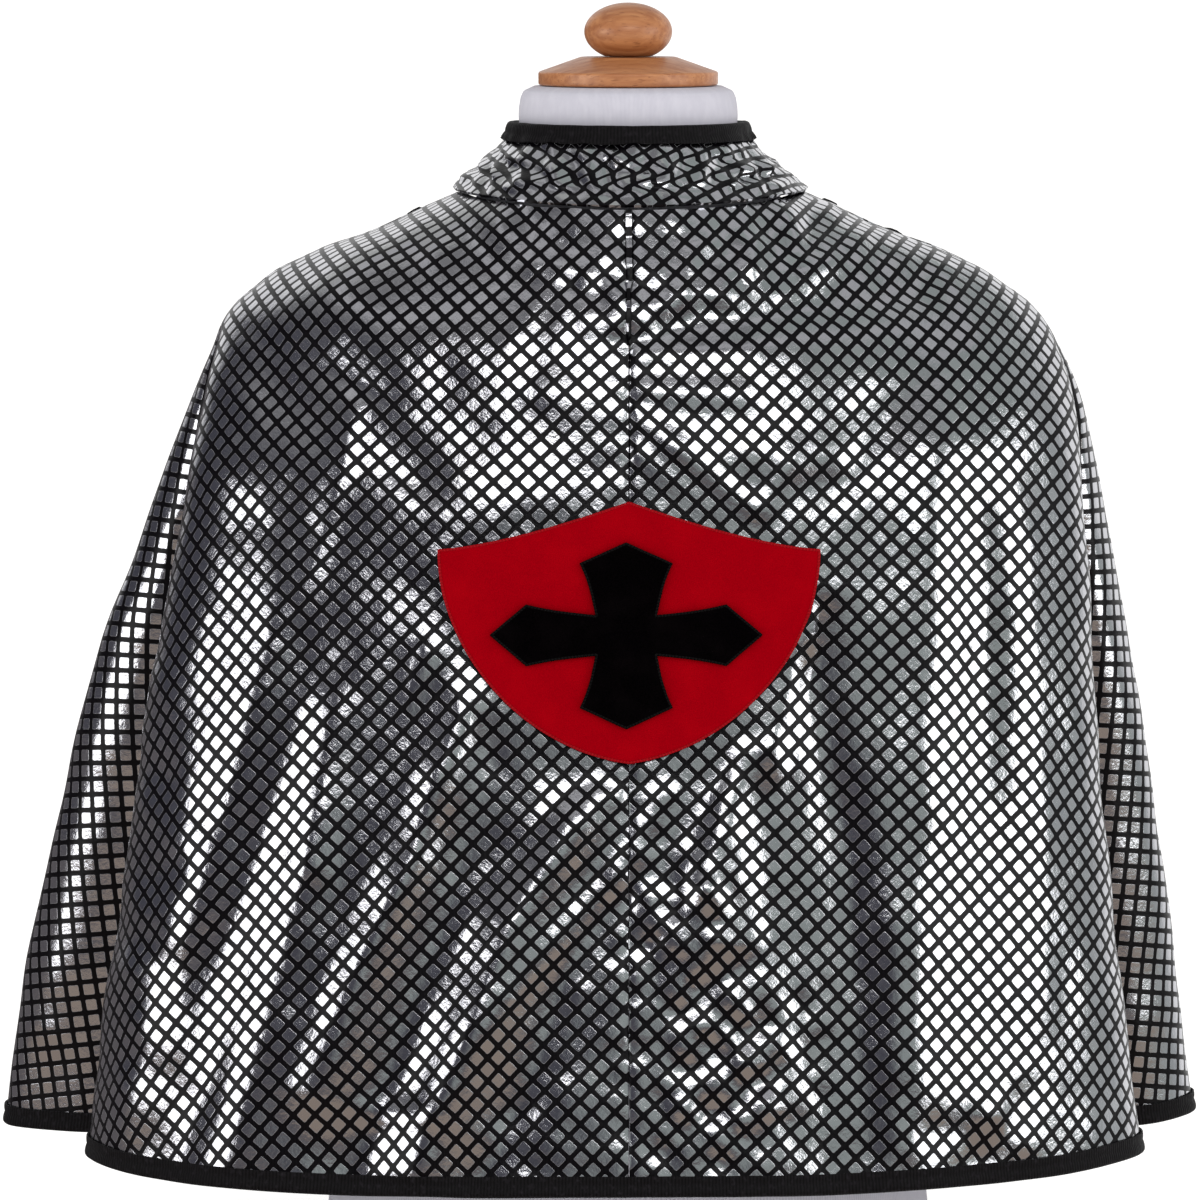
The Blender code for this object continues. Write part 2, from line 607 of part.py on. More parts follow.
def add_cap_and_finial(collection):
    """The neck cap, a chamfered disc, and the finial, a flattened ball on a small flat foot."""
    top = CAP_Z + CAP_HEIGHT
    cap = (
        (0, top),
        (CAP_TOP_RADIUS, top),
        (CAP_RADIUS - CAP_EASED, CAP_Z + CAP_WALL + CAP_EASED),
        (CAP_RADIUS, CAP_Z + CAP_WALL - CAP_EASED),
        (CAP_RADIUS, CAP_Z + CAP_EASED),
        (CAP_RADIUS - CAP_EASED, CAP_Z),
        (0, CAP_Z),
    )
    add_turned("neck_cap", cap, "beech", collection)
    foot = math.acos(-math.sqrt(1 - (FINIAL_FOOT_RADIUS / FINIAL_RADIUS) ** 2))
    half_height = FINIAL_HEIGHT / (1 - math.cos(foot))
    middle = top + SEAM_GAP - half_height * math.cos(foot)
    angles = np.linspace(0, foot, FINIAL_POINTS)
    ball = [(FINIAL_RADIUS * math.sin(a), middle + half_height * math.cos(a)) for a in angles]
    ball[0] = (0, ball[0][1])
    add_turned("finial", [*ball, (0, ball[-1][1])], "beech", collection)


def main():
    for old in list(bpy.data.objects):
        bpy.data.objects.remove(old)
    cape = bpy.data.collections.new("reversible_cape")
    bpy.context.scene.collection.children.link(cape)
    panels = {}
    for side, side_name in ((LEFT, "left"), (RIGHT, "right")):
        for front, face_name in ((False, "back"), (True, "front")):
            panels[side, front] = panel_points(side, front)
            add_wall(f"{face_name}_{side_name}", panels[side, front], CLOTH, "foil_cloth", cape)
    add_hem_binding(panels, cape)
    add_front_binding(LEFT, panels, cape)
    add_front_binding(RIGHT, panels, cape)
    add_collar(cape)
    add_appliques(panels, cape)
    add_form(cape)
    add_cap_and_finial(cape)


main()
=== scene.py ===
"""Looks for a child's reversible cape on a limbless dress form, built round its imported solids."""

import math

import bpy
import numpy as np
from bpy.props import FloatProperty, FloatVectorProperty, PointerProperty, StringProperty
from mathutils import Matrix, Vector


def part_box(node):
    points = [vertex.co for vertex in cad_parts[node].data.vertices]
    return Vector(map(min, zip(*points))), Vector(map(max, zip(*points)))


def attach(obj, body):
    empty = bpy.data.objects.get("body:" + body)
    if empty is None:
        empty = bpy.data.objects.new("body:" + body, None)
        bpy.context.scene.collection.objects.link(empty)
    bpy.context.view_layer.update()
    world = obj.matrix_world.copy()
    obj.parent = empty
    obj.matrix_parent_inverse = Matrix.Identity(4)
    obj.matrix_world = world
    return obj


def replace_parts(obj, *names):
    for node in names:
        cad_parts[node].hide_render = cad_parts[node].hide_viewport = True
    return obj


bl_info = {
    "name": "Reversible Cape",
    "version": (1, 0, 0),
    "blender": (4, 5, 0),
    "location": "View3D > Sidebar > Cape",
    "description": "Dresses the packed solids of a child's foil cape on a dress form",
    "category": "Object",
}

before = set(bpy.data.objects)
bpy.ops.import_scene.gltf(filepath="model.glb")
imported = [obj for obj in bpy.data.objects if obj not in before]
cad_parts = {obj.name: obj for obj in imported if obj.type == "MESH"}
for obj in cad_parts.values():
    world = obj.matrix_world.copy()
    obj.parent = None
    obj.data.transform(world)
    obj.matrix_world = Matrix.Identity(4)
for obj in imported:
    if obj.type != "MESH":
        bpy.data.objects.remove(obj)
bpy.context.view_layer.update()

LEFT, RIGHT = -1, 1
MM = 0.001

# The cape's rings, from the neck seam (share 0 of the cloth's length) to the hem (share 1), in metres:
# heights at the back, side and front, half widths to the left and right, depths to the back and front
RING_NAMES = ("share", "z_back", "z_side", "z_front", "left", "right", "back", "front")
RINGS = (
    (0.00, 0.4525, 0.4570, 0.4410, 0.0720, 0.0740, 0.0750, 0.0640),
    (0.07, 0.4250, 0.4430, 0.4160, 0.1025, 0.1050, 0.0860, 0.0750),
    (0.13, 0.4030, 0.4335, 0.3950, 0.1285, 0.1300, 0.0940, 0.0840),
    (0.19, 0.3800, 0.4215, 0.3735, 0.1520, 0.1540, 0.1005, 0.0920),
    (0.23, 0.3640, 0.4085, 0.3580, 0.1660, 0.1710, 0.1045, 0.0970),
    (0.29, 0.3395, 0.3850, 0.3345, 0.1795, 0.1870, 0.1100, 0.1040),
    (0.45, 0.2780, 0.3150, 0.2750, 0.2050, 0.2065, 0.1200, 0.1160),
    (0.60, 0.2190, 0.2490, 0.2175, 0.2265, 0.2175, 0.1310, 0.1260),
    (0.74, 0.1640, 0.1850, 0.1630, 0.2405, 0.2265, 0.1430, 0.1360),
    (0.87, 0.1125, 0.1250, 0.1125, 0.2535, 0.2360, 0.1545, 0.1450),
    (1.00, 0.0596, 0.0600, 0.0604, 0.2620, 0.2450, 0.1650, 0.1530),
)
SHOULDER_SHARE = 0.24
FOLD_OPENING = 2.6
DEPTH_OPENING = 5.0

# The hem in plan, from the centre back to the front edge, and how far it is lifted
PLAN_NAMES = (
    "angle", "left_across", "left_along", "left_lift", "right_across", "right_along", "right_lift"
)
PLAN = {
    "centre back": (0, 0.000, -0.165, 0.0000, 0.000, -0.165, 0.0000),
    "back flat": (27, 0.098, -0.162, 0.0000, 0.084, -0.158, 0.0000),
    "back turn": (46, 0.159, -0.147, 0.0004, 0.135, -0.142, 0.0006),
    "back flank": (63, 0.203, -0.122, 0.0024, 0.182, -0.116, 0.0019),
    "back ridge": (78, 0.222, -0.091, 0.0042, 0.211, -0.081, 0.0040),
    "tuck": (86, 0.216, -0.046, 0.0028, 0.208, -0.036, 0.0030),
    "side seam": (89.5, 0.209, 0.000, 0.0000, 0.204, 0.006, 0.0014),
    "strip": (93, 0.236, 0.006, 0.0000, 0.223, 0.012, 0.0025),
    "front ridge": (99, 0.262, 0.022, 0.0000, 0.239, 0.028, 0.0042),
    "front flank": (119, 0.240, 0.088, 0.0000, 0.219, 0.090, 0.0022),
    "front turn": (140, 0.172, 0.135, 0.0000, 0.158, 0.143, 0.0000),
    "front flat": (159, 0.088, 0.153, 0.0000, 0.084, 0.154, 0.0000),
    "front edge": (178, 0.016, 0.153, 0.0000, 0.014, 0.153, 0.0000),
}
SIDE_SEAM = "side seam"

# Folds and creases in millimetres, each along a line from its top to its low end as seen from the back
# or the front: the two ends, the half width at each, and the rise at each (below zero, a trough)
FOLD_NAMES = ("x_top", "z_top", "x_low", "z_low", "wide_top", "wide_low", "rise_top", "rise_low")
BACK_FOLDS = (
    (-121, 400, -76, 322, 12, 12, -1.0, -2.0),
    (-126, 352, -205, 68, 16, 20, 0.0, 5.0),
    (-128, 275, -192, 64, 14, 18, -1.0, -5.0),
    (-110, 262, -166, 64, 13, 17, 1.0, 6.0),
    (-60, 268, -124, 100, 10, 13, 2.0, 5.0),
    (-52, 246, -105, 66, 16, 22, -1.5, -7.0),
    (-12, 226, -88, 70, 11, 16, 2.0, 6.5),
    (-10, 180, -60, 66, 11, 15, -1.0, -5.0),
    (122, 400, 78, 320, 14, 16, -0.5, -3.0),
    (74, 300, 92, 62, 14, 20, -3.0, -5.0),
    (131, 385, 107, 62, 16, 20, 1.0, 5.0),
    (50, 236, 28, 160, 10, 13, 2.0, 5.0),
    (46, 186, 60, 66, 11, 14, 1.0, 2.5),
)
FRONT_FOLDS = (
    (-150, 345, -178, 62, 22, 28, -1.0, -12.0),
    (-112, 340, -126, 62, 18, 24, 2.0, 8.0),
    (-68, 335, -78, 62, 16, 22, -1.0, -10.0),
    (142, 345, 166, 62, 22, 28, -1.0, -12.0),
    (100, 335, 116, 62, 18, 24, 2.0, 8.0),
    (60, 330, 70, 62, 16, 22, -1.0, -10.0),
)
BACK_CREASES = (
    # Left side: pulls from the shoulder and the shield down to the hem
    (-138, 352, -147, 276, 10, 10, 1.5, 2.5),
    (-147, 276, -160, 225, 10, 10, 2.5, 1.5),
    (-160, 225, -180, 160, 10, 9, 1.5, 1.0),
    (-112, 372, -128, 310, 5, 5, 1.2, 1.2),
    (-128, 310, -138, 285, 5, 4, 1.2, 0.2),
    (-122, 255, -130, 190, 8, 9, 1.0, 2.5),
    (-60, 264, -76, 226, 6, 6, 1.8, 2.2),
    (-76, 226, -86, 192, 6, 6, 2.2, 2.2),
    (-86, 192, -116, 134, 6, 6, 2.2, 1.0),
    (-82, 275, -97, 235, 5, 4, 1.5, 0.2),
    (-12, 217, -50, 166, 8, 8, 2.5, 3.0),
    (-50, 166, -78, 95, 8, 8, 3.0, 2.0),
    (-6, 185, -50, 135, 5, 5, 2.0, 1.5),
    (-50, 135, -66, 110, 5, 4, 1.0, 0.2),
    (-20, 140, -30, 115, 5, 4, 1.0, 0.5),
    (-125, 92, -82, 90, 5, 6, 0.8, 1.5),
    # Right side: two crests down the big fold, and the soft swelling between them near the hem
    (131, 390, 127, 330, 9, 9, 0.8, 1.0),
    (127, 330, 122, 275, 9, 9, 1.0, 0.3),
    (142, 392, 161, 316, 10, 10, 1.2, 1.5),
    (161, 316, 168, 230, 10, 10, 1.5, 1.5),
    (168, 230, 168, 75, 10, 10, 1.5, 1.0),
    (143, 325, 145, 262, 9, 9, -1.2, -3.0),
    (145, 262, 145, 195, 9, 9, -3.0, -1.0),
    (136, 200, 144, 90, 12, 16, 0.6, 1.5),
    (56, 215, 66, 66, 15, 16, -1.5, -2.5),
    (72, 272, 90, 195, 8, 8, -1.5, -2.0),
    (90, 195, 100, 75, 8, 9, -2.0, -1.5),
    # Below the shield on the right: short pulls that meet near the seam
    (46, 235, 30, 182, 5, 5, 1.5, 1.5),
    (14, 218, -6, 180, 5, 5, 1.5, 1.0),
    (30, 180, 50, 160, 5, 5, 1.5, 0.8),
    (58, 236, 60, 208, 5, 5, 1.5, 0.5),
    (8, 176, 9, 168, 6, 6, 1.5, 1.5),
    # Upper back: the yoke of soft pulls between the shoulders and the seam
    (-38, 432, -14, 426, 6, 6, 0.6, 1.2),
    (-14, 426, 1, 408, 6, 6, 1.2, 1.2),
    (54, 436, 28, 420, 6, 6, 0.4, 1.2),
    (28, 420, 4, 410, 6, 6, 1.2, 1.0),
    (6, 404, 120, 420, 8, 10, -2.0, -4.0),
    (8, 396, 50, 396, 5, 6, 0.8, 1.0),
    (8, 380, 45, 378, 5, 6, 1.0, 1.0),
    (62, 388, 72, 384, 22, 22, 1.5, 1.5),
    (22, 357, 84, 352, 10, 10, 1.0, 1.5),
    (8, 366, 52, 330, 5, 5, 1.2, 1.2),
    (4, 354, 40, 326, 5, 5, 1.0, 0.8),
    (66, 350, 54, 332, 5, 5, 1.0, 1.0),
    (-118, 405, -108, 376, 26, 24, 4.0, 3.5),
    (-112, 418, -90, 416, 30, 30, 3.0, 3.0),
)
FRONT_CREASES = (
    (-60, 380, -96, 300, 6, 7, 1.5, 1.5),
    (-96, 300, -112, 190, 7, 7, 1.5, 0.5),
    (-28, 360, -50, 250, 6, 7, 1.2, 1.2),
    (-50, 250, -58, 120, 7, 7, 1.2, 2.0),
    (-140, 300, -160, 120, 8, 10, 1.0, 3.0),
    (56, 382, 92, 305, 6, 7, 1.5, 1.5),
    (92, 305, 104, 170, 7, 8, 1.5, 0.8),
    (30, 352, 44, 240, 6, 7, 1.0, 1.5),
    (44, 240, 50, 110, 7, 8, 1.5, 2.0),
    (136, 290, 150, 110, 8, 10, 1.0, 3.0),
)

# Creases of the narrow strips of front panel that show beside the back
SIDE_CREASES = (
    (-193, 319, -214, 264, 8, 10, 1.0, 2.0),
    (-214, 264, -233, 158, 10, 12, 2.0, 3.0),
    (-233, 158, -243, 103, 12, 12, 3.0, 3.0),
    (196, 300, 210, 242, 7, 9, 0.5, 2.5),
    (210, 242, 220, 178, 9, 10, 2.5, 3.0),
    (220, 178, 228, 110, 10, 10, 3.0, 1.0),
)

# Angles of the plan, in degrees, where the strips' creases come in and fade out, and where folds fade out
SIDE_FROM, SIDE_WHOLE, SIDE_FADES, SIDE_GONE = 90, 92.5, 99, 108
FOLDS_WHOLE, FOLDS_GONE = 56, 84

# Patches where the cloth is crumpled, in millimetres: centre, half width, half height, and the rise
# and length of the small waves in them
CRUMPLE_NAMES = ("x", "z", "wide", "high", "rise", "length")
CRUMPLES = (
    (38, 110, 36, 52, 0.60, 14),
    (22, 160, 26, 34, 0.50, 14),
    (-38, 386, 44, 34, 0.22, 22),
    (0, 418, 34, 18, 0.60, 16),
    (-150, 380, 40, 40, 0.35, 26),
    (150, 80, 40, 18, 0.60, 24),
    (-40, 84, 60, 20, 0.50, 26),
    (-195, 170, 26, 120, 0.50, 24),
    (-40, 440, 50, 16, 0.50, 18),
    (60, 436, 50, 16, 0.80, 15),
)
EVEN_CRUMPLE_RISE = 0.18
EVEN_CRUMPLE_LENGTH = 38
WAVES_IN_CRUMPLE, WAVE_LENGTHS = 18, (0.6, 1.7)
EVEN_SEED, FIRST_CRUMPLE_SEED, PUCKER_SEED, COLLAR_SEED = 1, 2, 9, 20

# Seams: the cloth rolls in to the stitching, and puckers along it
SEAM_SPACE = 0.0006
SEAM_ROLL, SEAM_ROLL_WIDTH = 0.0007, 0.0016
PUCKER_RISE, PUCKER_LENGTH, PUCKER_WIDTH = 0.0002, 0.0140, 0.0095
PUCKER_START, PUCKER_DRIFT, PUCKER_SWAY = 0.003, 0.3, 2

# A panel's usual size, for its count of points, and the shares of its width of two columns close to a seam
PANEL_LENGTH, PANEL_WIDTH = 0.43, 0.34
SEAM_COLUMNS = np.array([0.0015, 0.0035])

# Laying a panel flat: points each way and rounds of each grid, and how far a point moves in a round
FLAT_GRIDS = ((12, 500), (34, 500), (80, 200))
FLAT_PULL = 0.14

# Turn of the foil's grid on the cut, in degrees
BACK_BIAS, FRONT_BIAS, COLLAR_BIAS = 45, 0, 45

# Collar rings, from its seam to its top edge, in the columns of the cape's rings
COLLAR = (
    (0.00, 0.4545, 0.4590, 0.4430, 0.0735, 0.0755, 0.0762, 0.0655),
    (0.35, 0.4625, 0.4655, 0.4525, 0.0660, 0.0670, 0.0690, 0.0610),
    (0.70, 0.4735, 0.4748, 0.4660, 0.0552, 0.0556, 0.0595, 0.0555),
    (0.85, 0.4785, 0.4792, 0.4740, 0.0510, 0.0512, 0.0552, 0.0528),
    (1.00, 0.4848, 0.4850, 0.4825, 0.0494, 0.0496, 0.0530, 0.0516),
)
COLLAR_WAVES = 7
COLLAR_WAVE_RISE = 0.0010
COLLAR_END = 179
COLLAR_LAP_ANGLE = 22
COLLAR_LAP_LIFT = 0.0048
COLLAR_LAP_EASE = 34
COLLAR_CRUMPLE_RISE, COLLAR_CRUMPLE_LENGTH = 0.0011, 0.012
COLLAR_HEIGHT = 0.04
COLLAR_COLUMNS, COLLAR_ROWS = 221, 23

# Shield and cross
SHIELD_HALF_WIDTH = 0.0775
SHIELD_CORNER_HEIGHT = 0.0855
SHIELD_PEAK_RISE = 0.0195
SHIELD_PEAK_CURVE = 1.4
SHIELD_POINTED = 0.12
SHIELD_TIP_Z = 0.2300
SHIELD_MIDDLE = 0.6
SHIELD_POINTS, CROSS_POINTS = 81, 15
CROSS_CENTRE = (-0.0012, SHIELD_TIP_Z + 0.0512)
CROSS_ARM_NAMES = ("length", "flare_at", "flare", "waist")
CROSS_LEVEL_ARM = (0.0550, 0.0405, 0.0122, 0.0080)
CROSS_UPRIGHT_ARM = (0.0374, 0.0290, 0.0186, 0.0122)
CROSS_HOLLOW = 0.35
CALM_MARGIN, CALM_EDGE = 0.013, 0.018
APPLIQUE_EASE = 0.0008
RIM_WIDTH, RIM_HEIGHT, RIM_NOTCH, RIM_SIDES = 0.0013, 0.0007, 0.16, 12
STITCH_LENGTH = 0.0011
FELT_STEP = 0.0012

# Rings of a felt patch: the even ones by share of the outline, then share and height of each at the edge
PATCH_FIRST, PATCH_LAST, PATCH_RINGS = 0.04, 0.94, 26
PATCH_EDGE = np.array([(0.965, 1.0), (0.985, 0.96), (0.996, 0.86), (1.0, 0.62), (1.0, 0.0)])

# The stretch of back under the shield, across and up, and how finely its depth is read
DEPTH_ACROSS, DEPTH_HEIGHTS, DEPTH_PLACES = (-0.1, 0.1), (0.20, 0.36), 161

# Bindings
BINDING_HEIGHT = 0.0068
BINDING_EASE = 0.0006
BINDING_PINCH, BINDING_PINCH_POWER = 0.35, 8
BINDING_FOLD = 0.4
BINDING_RIB = 0.0008
BINDING_LEG_POINTS, BINDING_FOLD_POINTS = 7, 9

# Counts of rows or columns that show which way a hem, front edge or collar edge points, and of columns
# left out next to a seam by the hem's binding and by the shield's ground
HEM_ROWS, FRONT_COLUMNS, COLLAR_EDGE_ROWS = 3, 5, 4
HEM_SKIP, GROUND_SKIP = 3, 4

# Dress form: sections of the torso and neck, from the base up
FORM_NAMES = ("z", "half_width", "back", "front", "squareness")
FORM = (
    (0.0000, 0.1190, 0.0930, 0.0950, 2.4),
    (0.0060, 0.1230, 0.0965, 0.0985, 2.4),
    (0.0550, 0.1240, 0.0970, 0.0990, 2.4),
    (0.1200, 0.1150, 0.0890, 0.0920, 2.4),
    (0.1900, 0.1045, 0.0800, 0.0840, 2.4),
    (0.2500, 0.1110, 0.0825, 0.0885, 2.4),
    (0.3100, 0.1240, 0.0890, 0.0945, 2.4),
    (0.3450, 0.1380, 0.0880, 0.0900, 2.3),
    (0.3700, 0.1510, 0.0820, 0.0820, 2.3),
    (0.3860, 0.1570, 0.0765, 0.0745, 2.3),
    (0.3980, 0.1580, 0.0710, 0.0680, 2.2),
    (0.4090, 0.1540, 0.0660, 0.0620, 2.2),
    (0.4190, 0.1435, 0.0620, 0.0575, 2.1),
    (0.4300, 0.1200, 0.0590, 0.0540, 2.1),
    (0.4400, 0.0960, 0.0560, 0.0520, 2.0),
    (0.4500, 0.0730, 0.0530, 0.0500, 2.0),
    (0.4580, 0.0590, 0.0505, 0.0485, 2.0),
    (0.4660, 0.0510, 0.0480, 0.0470, 2.0),
    (0.4780, 0.0458, 0.0458, 0.0458, 2.0),
    (0.4930, 0.0456, 0.0456, 0.0456, 2.0),
    (0.4988, 0.0440, 0.0440, 0.0440, 2.0),
    (0.5012, 0.0395, 0.0395, 0.0395, 2.0),
)
FORM_ROWS, FORM_COLUMNS = 150, 160
FORM_GIRTH = 0.66

# Foil squares: how ragged and soft their edges are and the tilt of each, as shares of a cell, the power
# that rounds their corners, and how rough the knit between them is
MIDDLE = (0.5, 0.5, 0.5)
RAGGED_EDGE, SOFT_EDGE, SQUARE_TILT, ROUNDING = 0.035, 0.014, 0.05, 9.0
KNIT_ROUGHNESS = 0.3

# Turned wood
CAP_WALL, CAP_FLAT_RADIUS, CAP_EDGE = 0.0048, 0.0205, 0.0011
CAP_SOFT_IN, CAP_SOFT_OUT, CAP_SOFT_DROP = 0.0006, 0.0004, 0.0003
FINIAL_FOOT = 0.0098
TURNED_SIDES, ARC_POINTS, FINIAL_POINTS = 96, 7, 60

# Softboxes, each by its bearing from behind the camera (to the right) and its height in degrees, as the
# cape sees it, its distance and size in metres, and its brightness where 1 is paper white
SOFTBOXES = (
    ("left_softbox", -62, 10, 2.2, 1.6, 0.95, 2.4),
    ("right_softbox", 64, 14, 2.2, 1.65, 1.2, 2.2),
    ("front_softbox", 4, 32, 2.2, 1.9, 0.58, 2.8),
)
LIT_POINT = (0, -0.1, 0.27)
FLOOR_HALF = 30
SENSOR_WIDTH, CLIP_END = 36, 100

# The room that the foil reflects, in linear colours. Each wall after the first comes in over a range of
# bearings in radians, and the rest over ranges of height on a unit sphere
EVEN_LIGHT = (0.80, 0.80, 0.80, 1)
SLATE_WALL = (0.06, 0.06, 0.075, 1)
PALE_WALL = (0.31, 0.345, 0.33, 1)
GREY_WALL = (0.42, 0.44, 0.44, 1)
BACKDROP = (0.95, 0.95, 0.95, 1)
WALLS = (
    (-0.3, 0.25, PALE_WALL),
    (1.3, 1.9, GREY_WALL),
    (1.75, 2.25, BACKDROP),
    (-2.2, -2.6, BACKDROP),
)
SKIRTING = (0.12, 0.11, 0.115, 1)
SKIRTING_HEIGHT, SKIRTING_BEARING = (0.14, 0.05), (1.0, 0.6)
WARM_FLOOR = (0.30, 0.245, 0.205, 1)
FLOOR_HEIGHT, FLOOR_SIDE = (-0.05, -0.12), (1.8, 1.4)
CEILING = (0.20, 0.20, 0.205, 1)
CEILING_HEIGHT = (0.45, 0.7)
HIGH_WALL = (0.42, 0.43, 0.41, 1)
HIGH_WALL_SIDE, HIGH_PALE_BEARING = (1.9, 2.5), (0.3, 0.9)
SKYLIGHT = (0.45, 0.45, 0.46, 1)
SKYLIGHT_LOW, SKYLIGHT_HIGH = (0.72, 0.78), (0.92, 0.84)


def size_property(name, description, default):
    """A length in metres."""
    return FloatProperty(name=name, description=description, default=default, unit="LENGTH")


def colour_property(name, thing, default):
    """A colour as sRGB hex digits."""
    return StringProperty(name=name, description="sRGB hex colour of " + thing, default=default)


def place_property(name, description, default):
    """A place in metres."""
    return FloatVectorProperty(name=name, description=description, default=default, unit="LENGTH")


class CapeSettings(bpy.types.PropertyGroup):
    """Sizes and colours of the cape's cloth and trim."""

    cloth: size_property("Cloth", "Thickness of the two layers of cloth", 0.0015)
    pitch: size_property("Foil pitch", "From one foil square to the next", 0.0066)
    square: size_property("Foil square", "Side of each foil square", 0.00445)
    step: size_property("Mesh step", "Spacing of the points of the cloth", 0.0025)
    felt: size_property("Felt", "Thickness of the shield and the cross", 0.0012)
    binding: size_property("Binding", "Thickness of the binding's knit", 0.0008)
    foil: colour_property("Foil", "the foil", "d9d9dd")
    knit: colour_property("Knit", "the black knit", "070408")
    red: colour_property("Red felt", "the shield", "8b000b")
    rim: colour_property("Red thread", "the shield's edge", "90010c")
    black: colour_property("Black felt", "the cross", "050304")


class FormSettings(bpy.types.PropertyGroup):
    """Sizes and colours of the dress form."""

    jersey: colour_property("Jersey", "the form's cover", "bfbdc6")
    wood: colour_property("Beech", "the turned wood", "b1774b")
    grain: colour_property("Grain", "the wood's grain", "955930")
    cap_radius: size_property("Cap radius", "Radius of the neck cap", 0.0376)
    finial_radius: size_property("Finial radius", "Radius of the ball on the cap", 0.0184)


class StageSettings(bpy.types.PropertyGroup):
    """Where the camera stands and how bright the studio is."""

    camera_place: place_property("Camera", "Where the camera stands", (-0.0118, -3.5, 0.6015))
    camera_target: place_property("Target", "What it looks at", (-0.0118, 0, 0.2852))
    lens: FloatProperty(name="Lens", description="Focal length in millimetres", default=250.6)
    floor: colour_property("Floor", "the floor", "f7f5f3")


# Curves, tables and small sums


def column(table, names, name):
    """One named column of a table."""
    return np.array([row[names.index(name)] for row in table], float)


def eased(at, knots, values):
    """A smooth curve through a table's values: cubic stretches that share their slopes at the knots."""
    slopes = np.gradient(values, knots)
    low = np.clip(np.searchsorted(knots, at, side="right") - 1, 0, len(knots) - 2)
    span = knots[low + 1] - knots[low]
    t = (at - knots[low]) / span
    rise = t * t * (3 - 2 * t)
    leave = t * (1 - t) ** 2 * span * slopes[low]
    arrive = t * t * (t - 1) * span * slopes[low + 1]
    return values[low] + (values[low + 1] - values[low]) * rise + leave + arrive


def smooth_step(value, start, end):
    """0 before start, 1 after end, and an even S between them."""
    t = np.clip((value - start) / (end - start), 0, 1)
    return t * t * (3 - 2 * t)


def unit(vectors):
    """Vectors divided by their own lengths."""
    return vectors / np.linalg.norm(vectors, axis=-1, keepdims=True)


def lengths_along(points, axis):
    """Running length along the rows or columns of a grid of points, from 0."""
    steps = np.linalg.norm(np.diff(points, axis=axis), axis=-1)
    start = np.zeros_like(np.take(steps, [0], axis=axis))
    return np.concatenate([start, np.cumsum(steps, axis=axis)], axis=axis)


def waves(a, b, length, seed):
    """Even small ripples of unit size: a sum of sines in seeded directions, about one length long."""
    rng = np.random.default_rng(seed)
    turns = rng.uniform(0, math.pi, WAVES_IN_CRUMPLE)
    sizes = length * rng.uniform(*WAVE_LENGTHS, WAVES_IN_CRUMPLE)
    phases = rng.uniform(0, 2 * math.pi, WAVES_IN_CRUMPLE)
    total = np.zeros_like(a)
    for turn, size, phase in zip(turns, sizes, phases):
        total += size / length * np.sin(2 * math.pi * (a * np.cos(turn) + b * np.sin(turn)) / size + phase)
    return total / math.sqrt(WAVES_IN_CRUMPLE / 2)


# The cape's form


def plan_of(side):
    """Share of the hem's length, angle, across, along and lift of each point of one side's plan."""
    rows = list(PLAN.values())
    name = "left" if side == LEFT else "right"
    across = column(rows, PLAN_NAMES, name + "_across")
    along = column(rows, PLAN_NAMES, name + "_along")
    steps = np.hypot(np.diff(across), np.diff(along))
    share = np.concatenate([[0], np.cumsum(steps)]) / steps.sum()
    return share, column(rows, PLAN_NAMES, "angle"), across, along, column(rows, PLAN_NAMES, name + "_lift")


def seam_share(side):
    """The share of the hem's length at which a side's seam lies."""
    return plan_of(side)[0][list(PLAN).index(SIDE_SEAM)]


def ring_size(name, share, table=RINGS):
    """A ring's height, width or depth at a share of the cloth's length, by a curve through the table."""
    return eased(share, column(table, RING_NAMES, "share"), column(table, RING_NAMES, name))


def ring_height(angle, share, table):
    """The height of a ring: from its side's to its back's or front's, by the square of the cosine."""
    side_z = ring_size("z_side", share, table)
    end_z = np.where(
        np.cos(angle) > 0, ring_size("z_back", share, table), ring_size("z_front", share, table)
    )
    return side_z + (end_z - side_z) * np.cos(angle) ** 2


def plain_point(side, around, share):
    """The cape with its side folds only: an oval on the shoulders that opens into the plan of the hem.

    The oval is the ring's width by the sine of the angle and its depth by the cosine. The plan is scaled to
    the ring, and is blended in by a power of the share of cloth that hangs below the shoulder.
    """
    hem_share, angles, across, along, lift = plan_of(side)
    angle = np.radians(eased(around, hem_share, angles))
    width_name = "left" if side == LEFT else "right"
    width = ring_size(width_name, share)
    back, front = ring_size("back", share), ring_size("front", share)
    oval_x = width * np.sin(angle)
    oval_y = -np.where(np.cos(angle) > 0, back, front) * np.cos(angle)
    plan_x = eased(around, hem_share, across) * width / ring_size(width_name, 1)
    plan_y = eased(around, hem_share, along)
    plan_y = plan_y * np.where(plan_y < 0, back / ring_size("back", 1), front / ring_size("front", 1))
    hanging = np.clip((share - SHOULDER_SHARE) / (1 - SHOULDER_SHARE), 0, 1)
    opened = 1 - (1 - hanging) ** FOLD_OPENING
    x = side * (oval_x + (plan_x - oval_x) * opened)
    y = oval_y + (plan_y - oval_y) * (1 - (1 - hanging) ** DEPTH_OPENING)
    z = ring_height(angle, share, RINGS) + eased(around, hem_share, lift) * opened
    return np.stack([x, y, z], axis=-1), np.degrees(angle)


def outward(side, around, share):
    """The plain form's unit normal, pointing away from the wearer, from two small steps on it."""
    step = 1e-4
    by_share = plain_point(side, around, share + step)[0] - plain_point(side, around, share - step)[0]
    by_around = plain_point(side, around + step, share)[0] - plain_point(side, around - step, share)[0]
    return unit(side * np.cross(by_share, by_around))


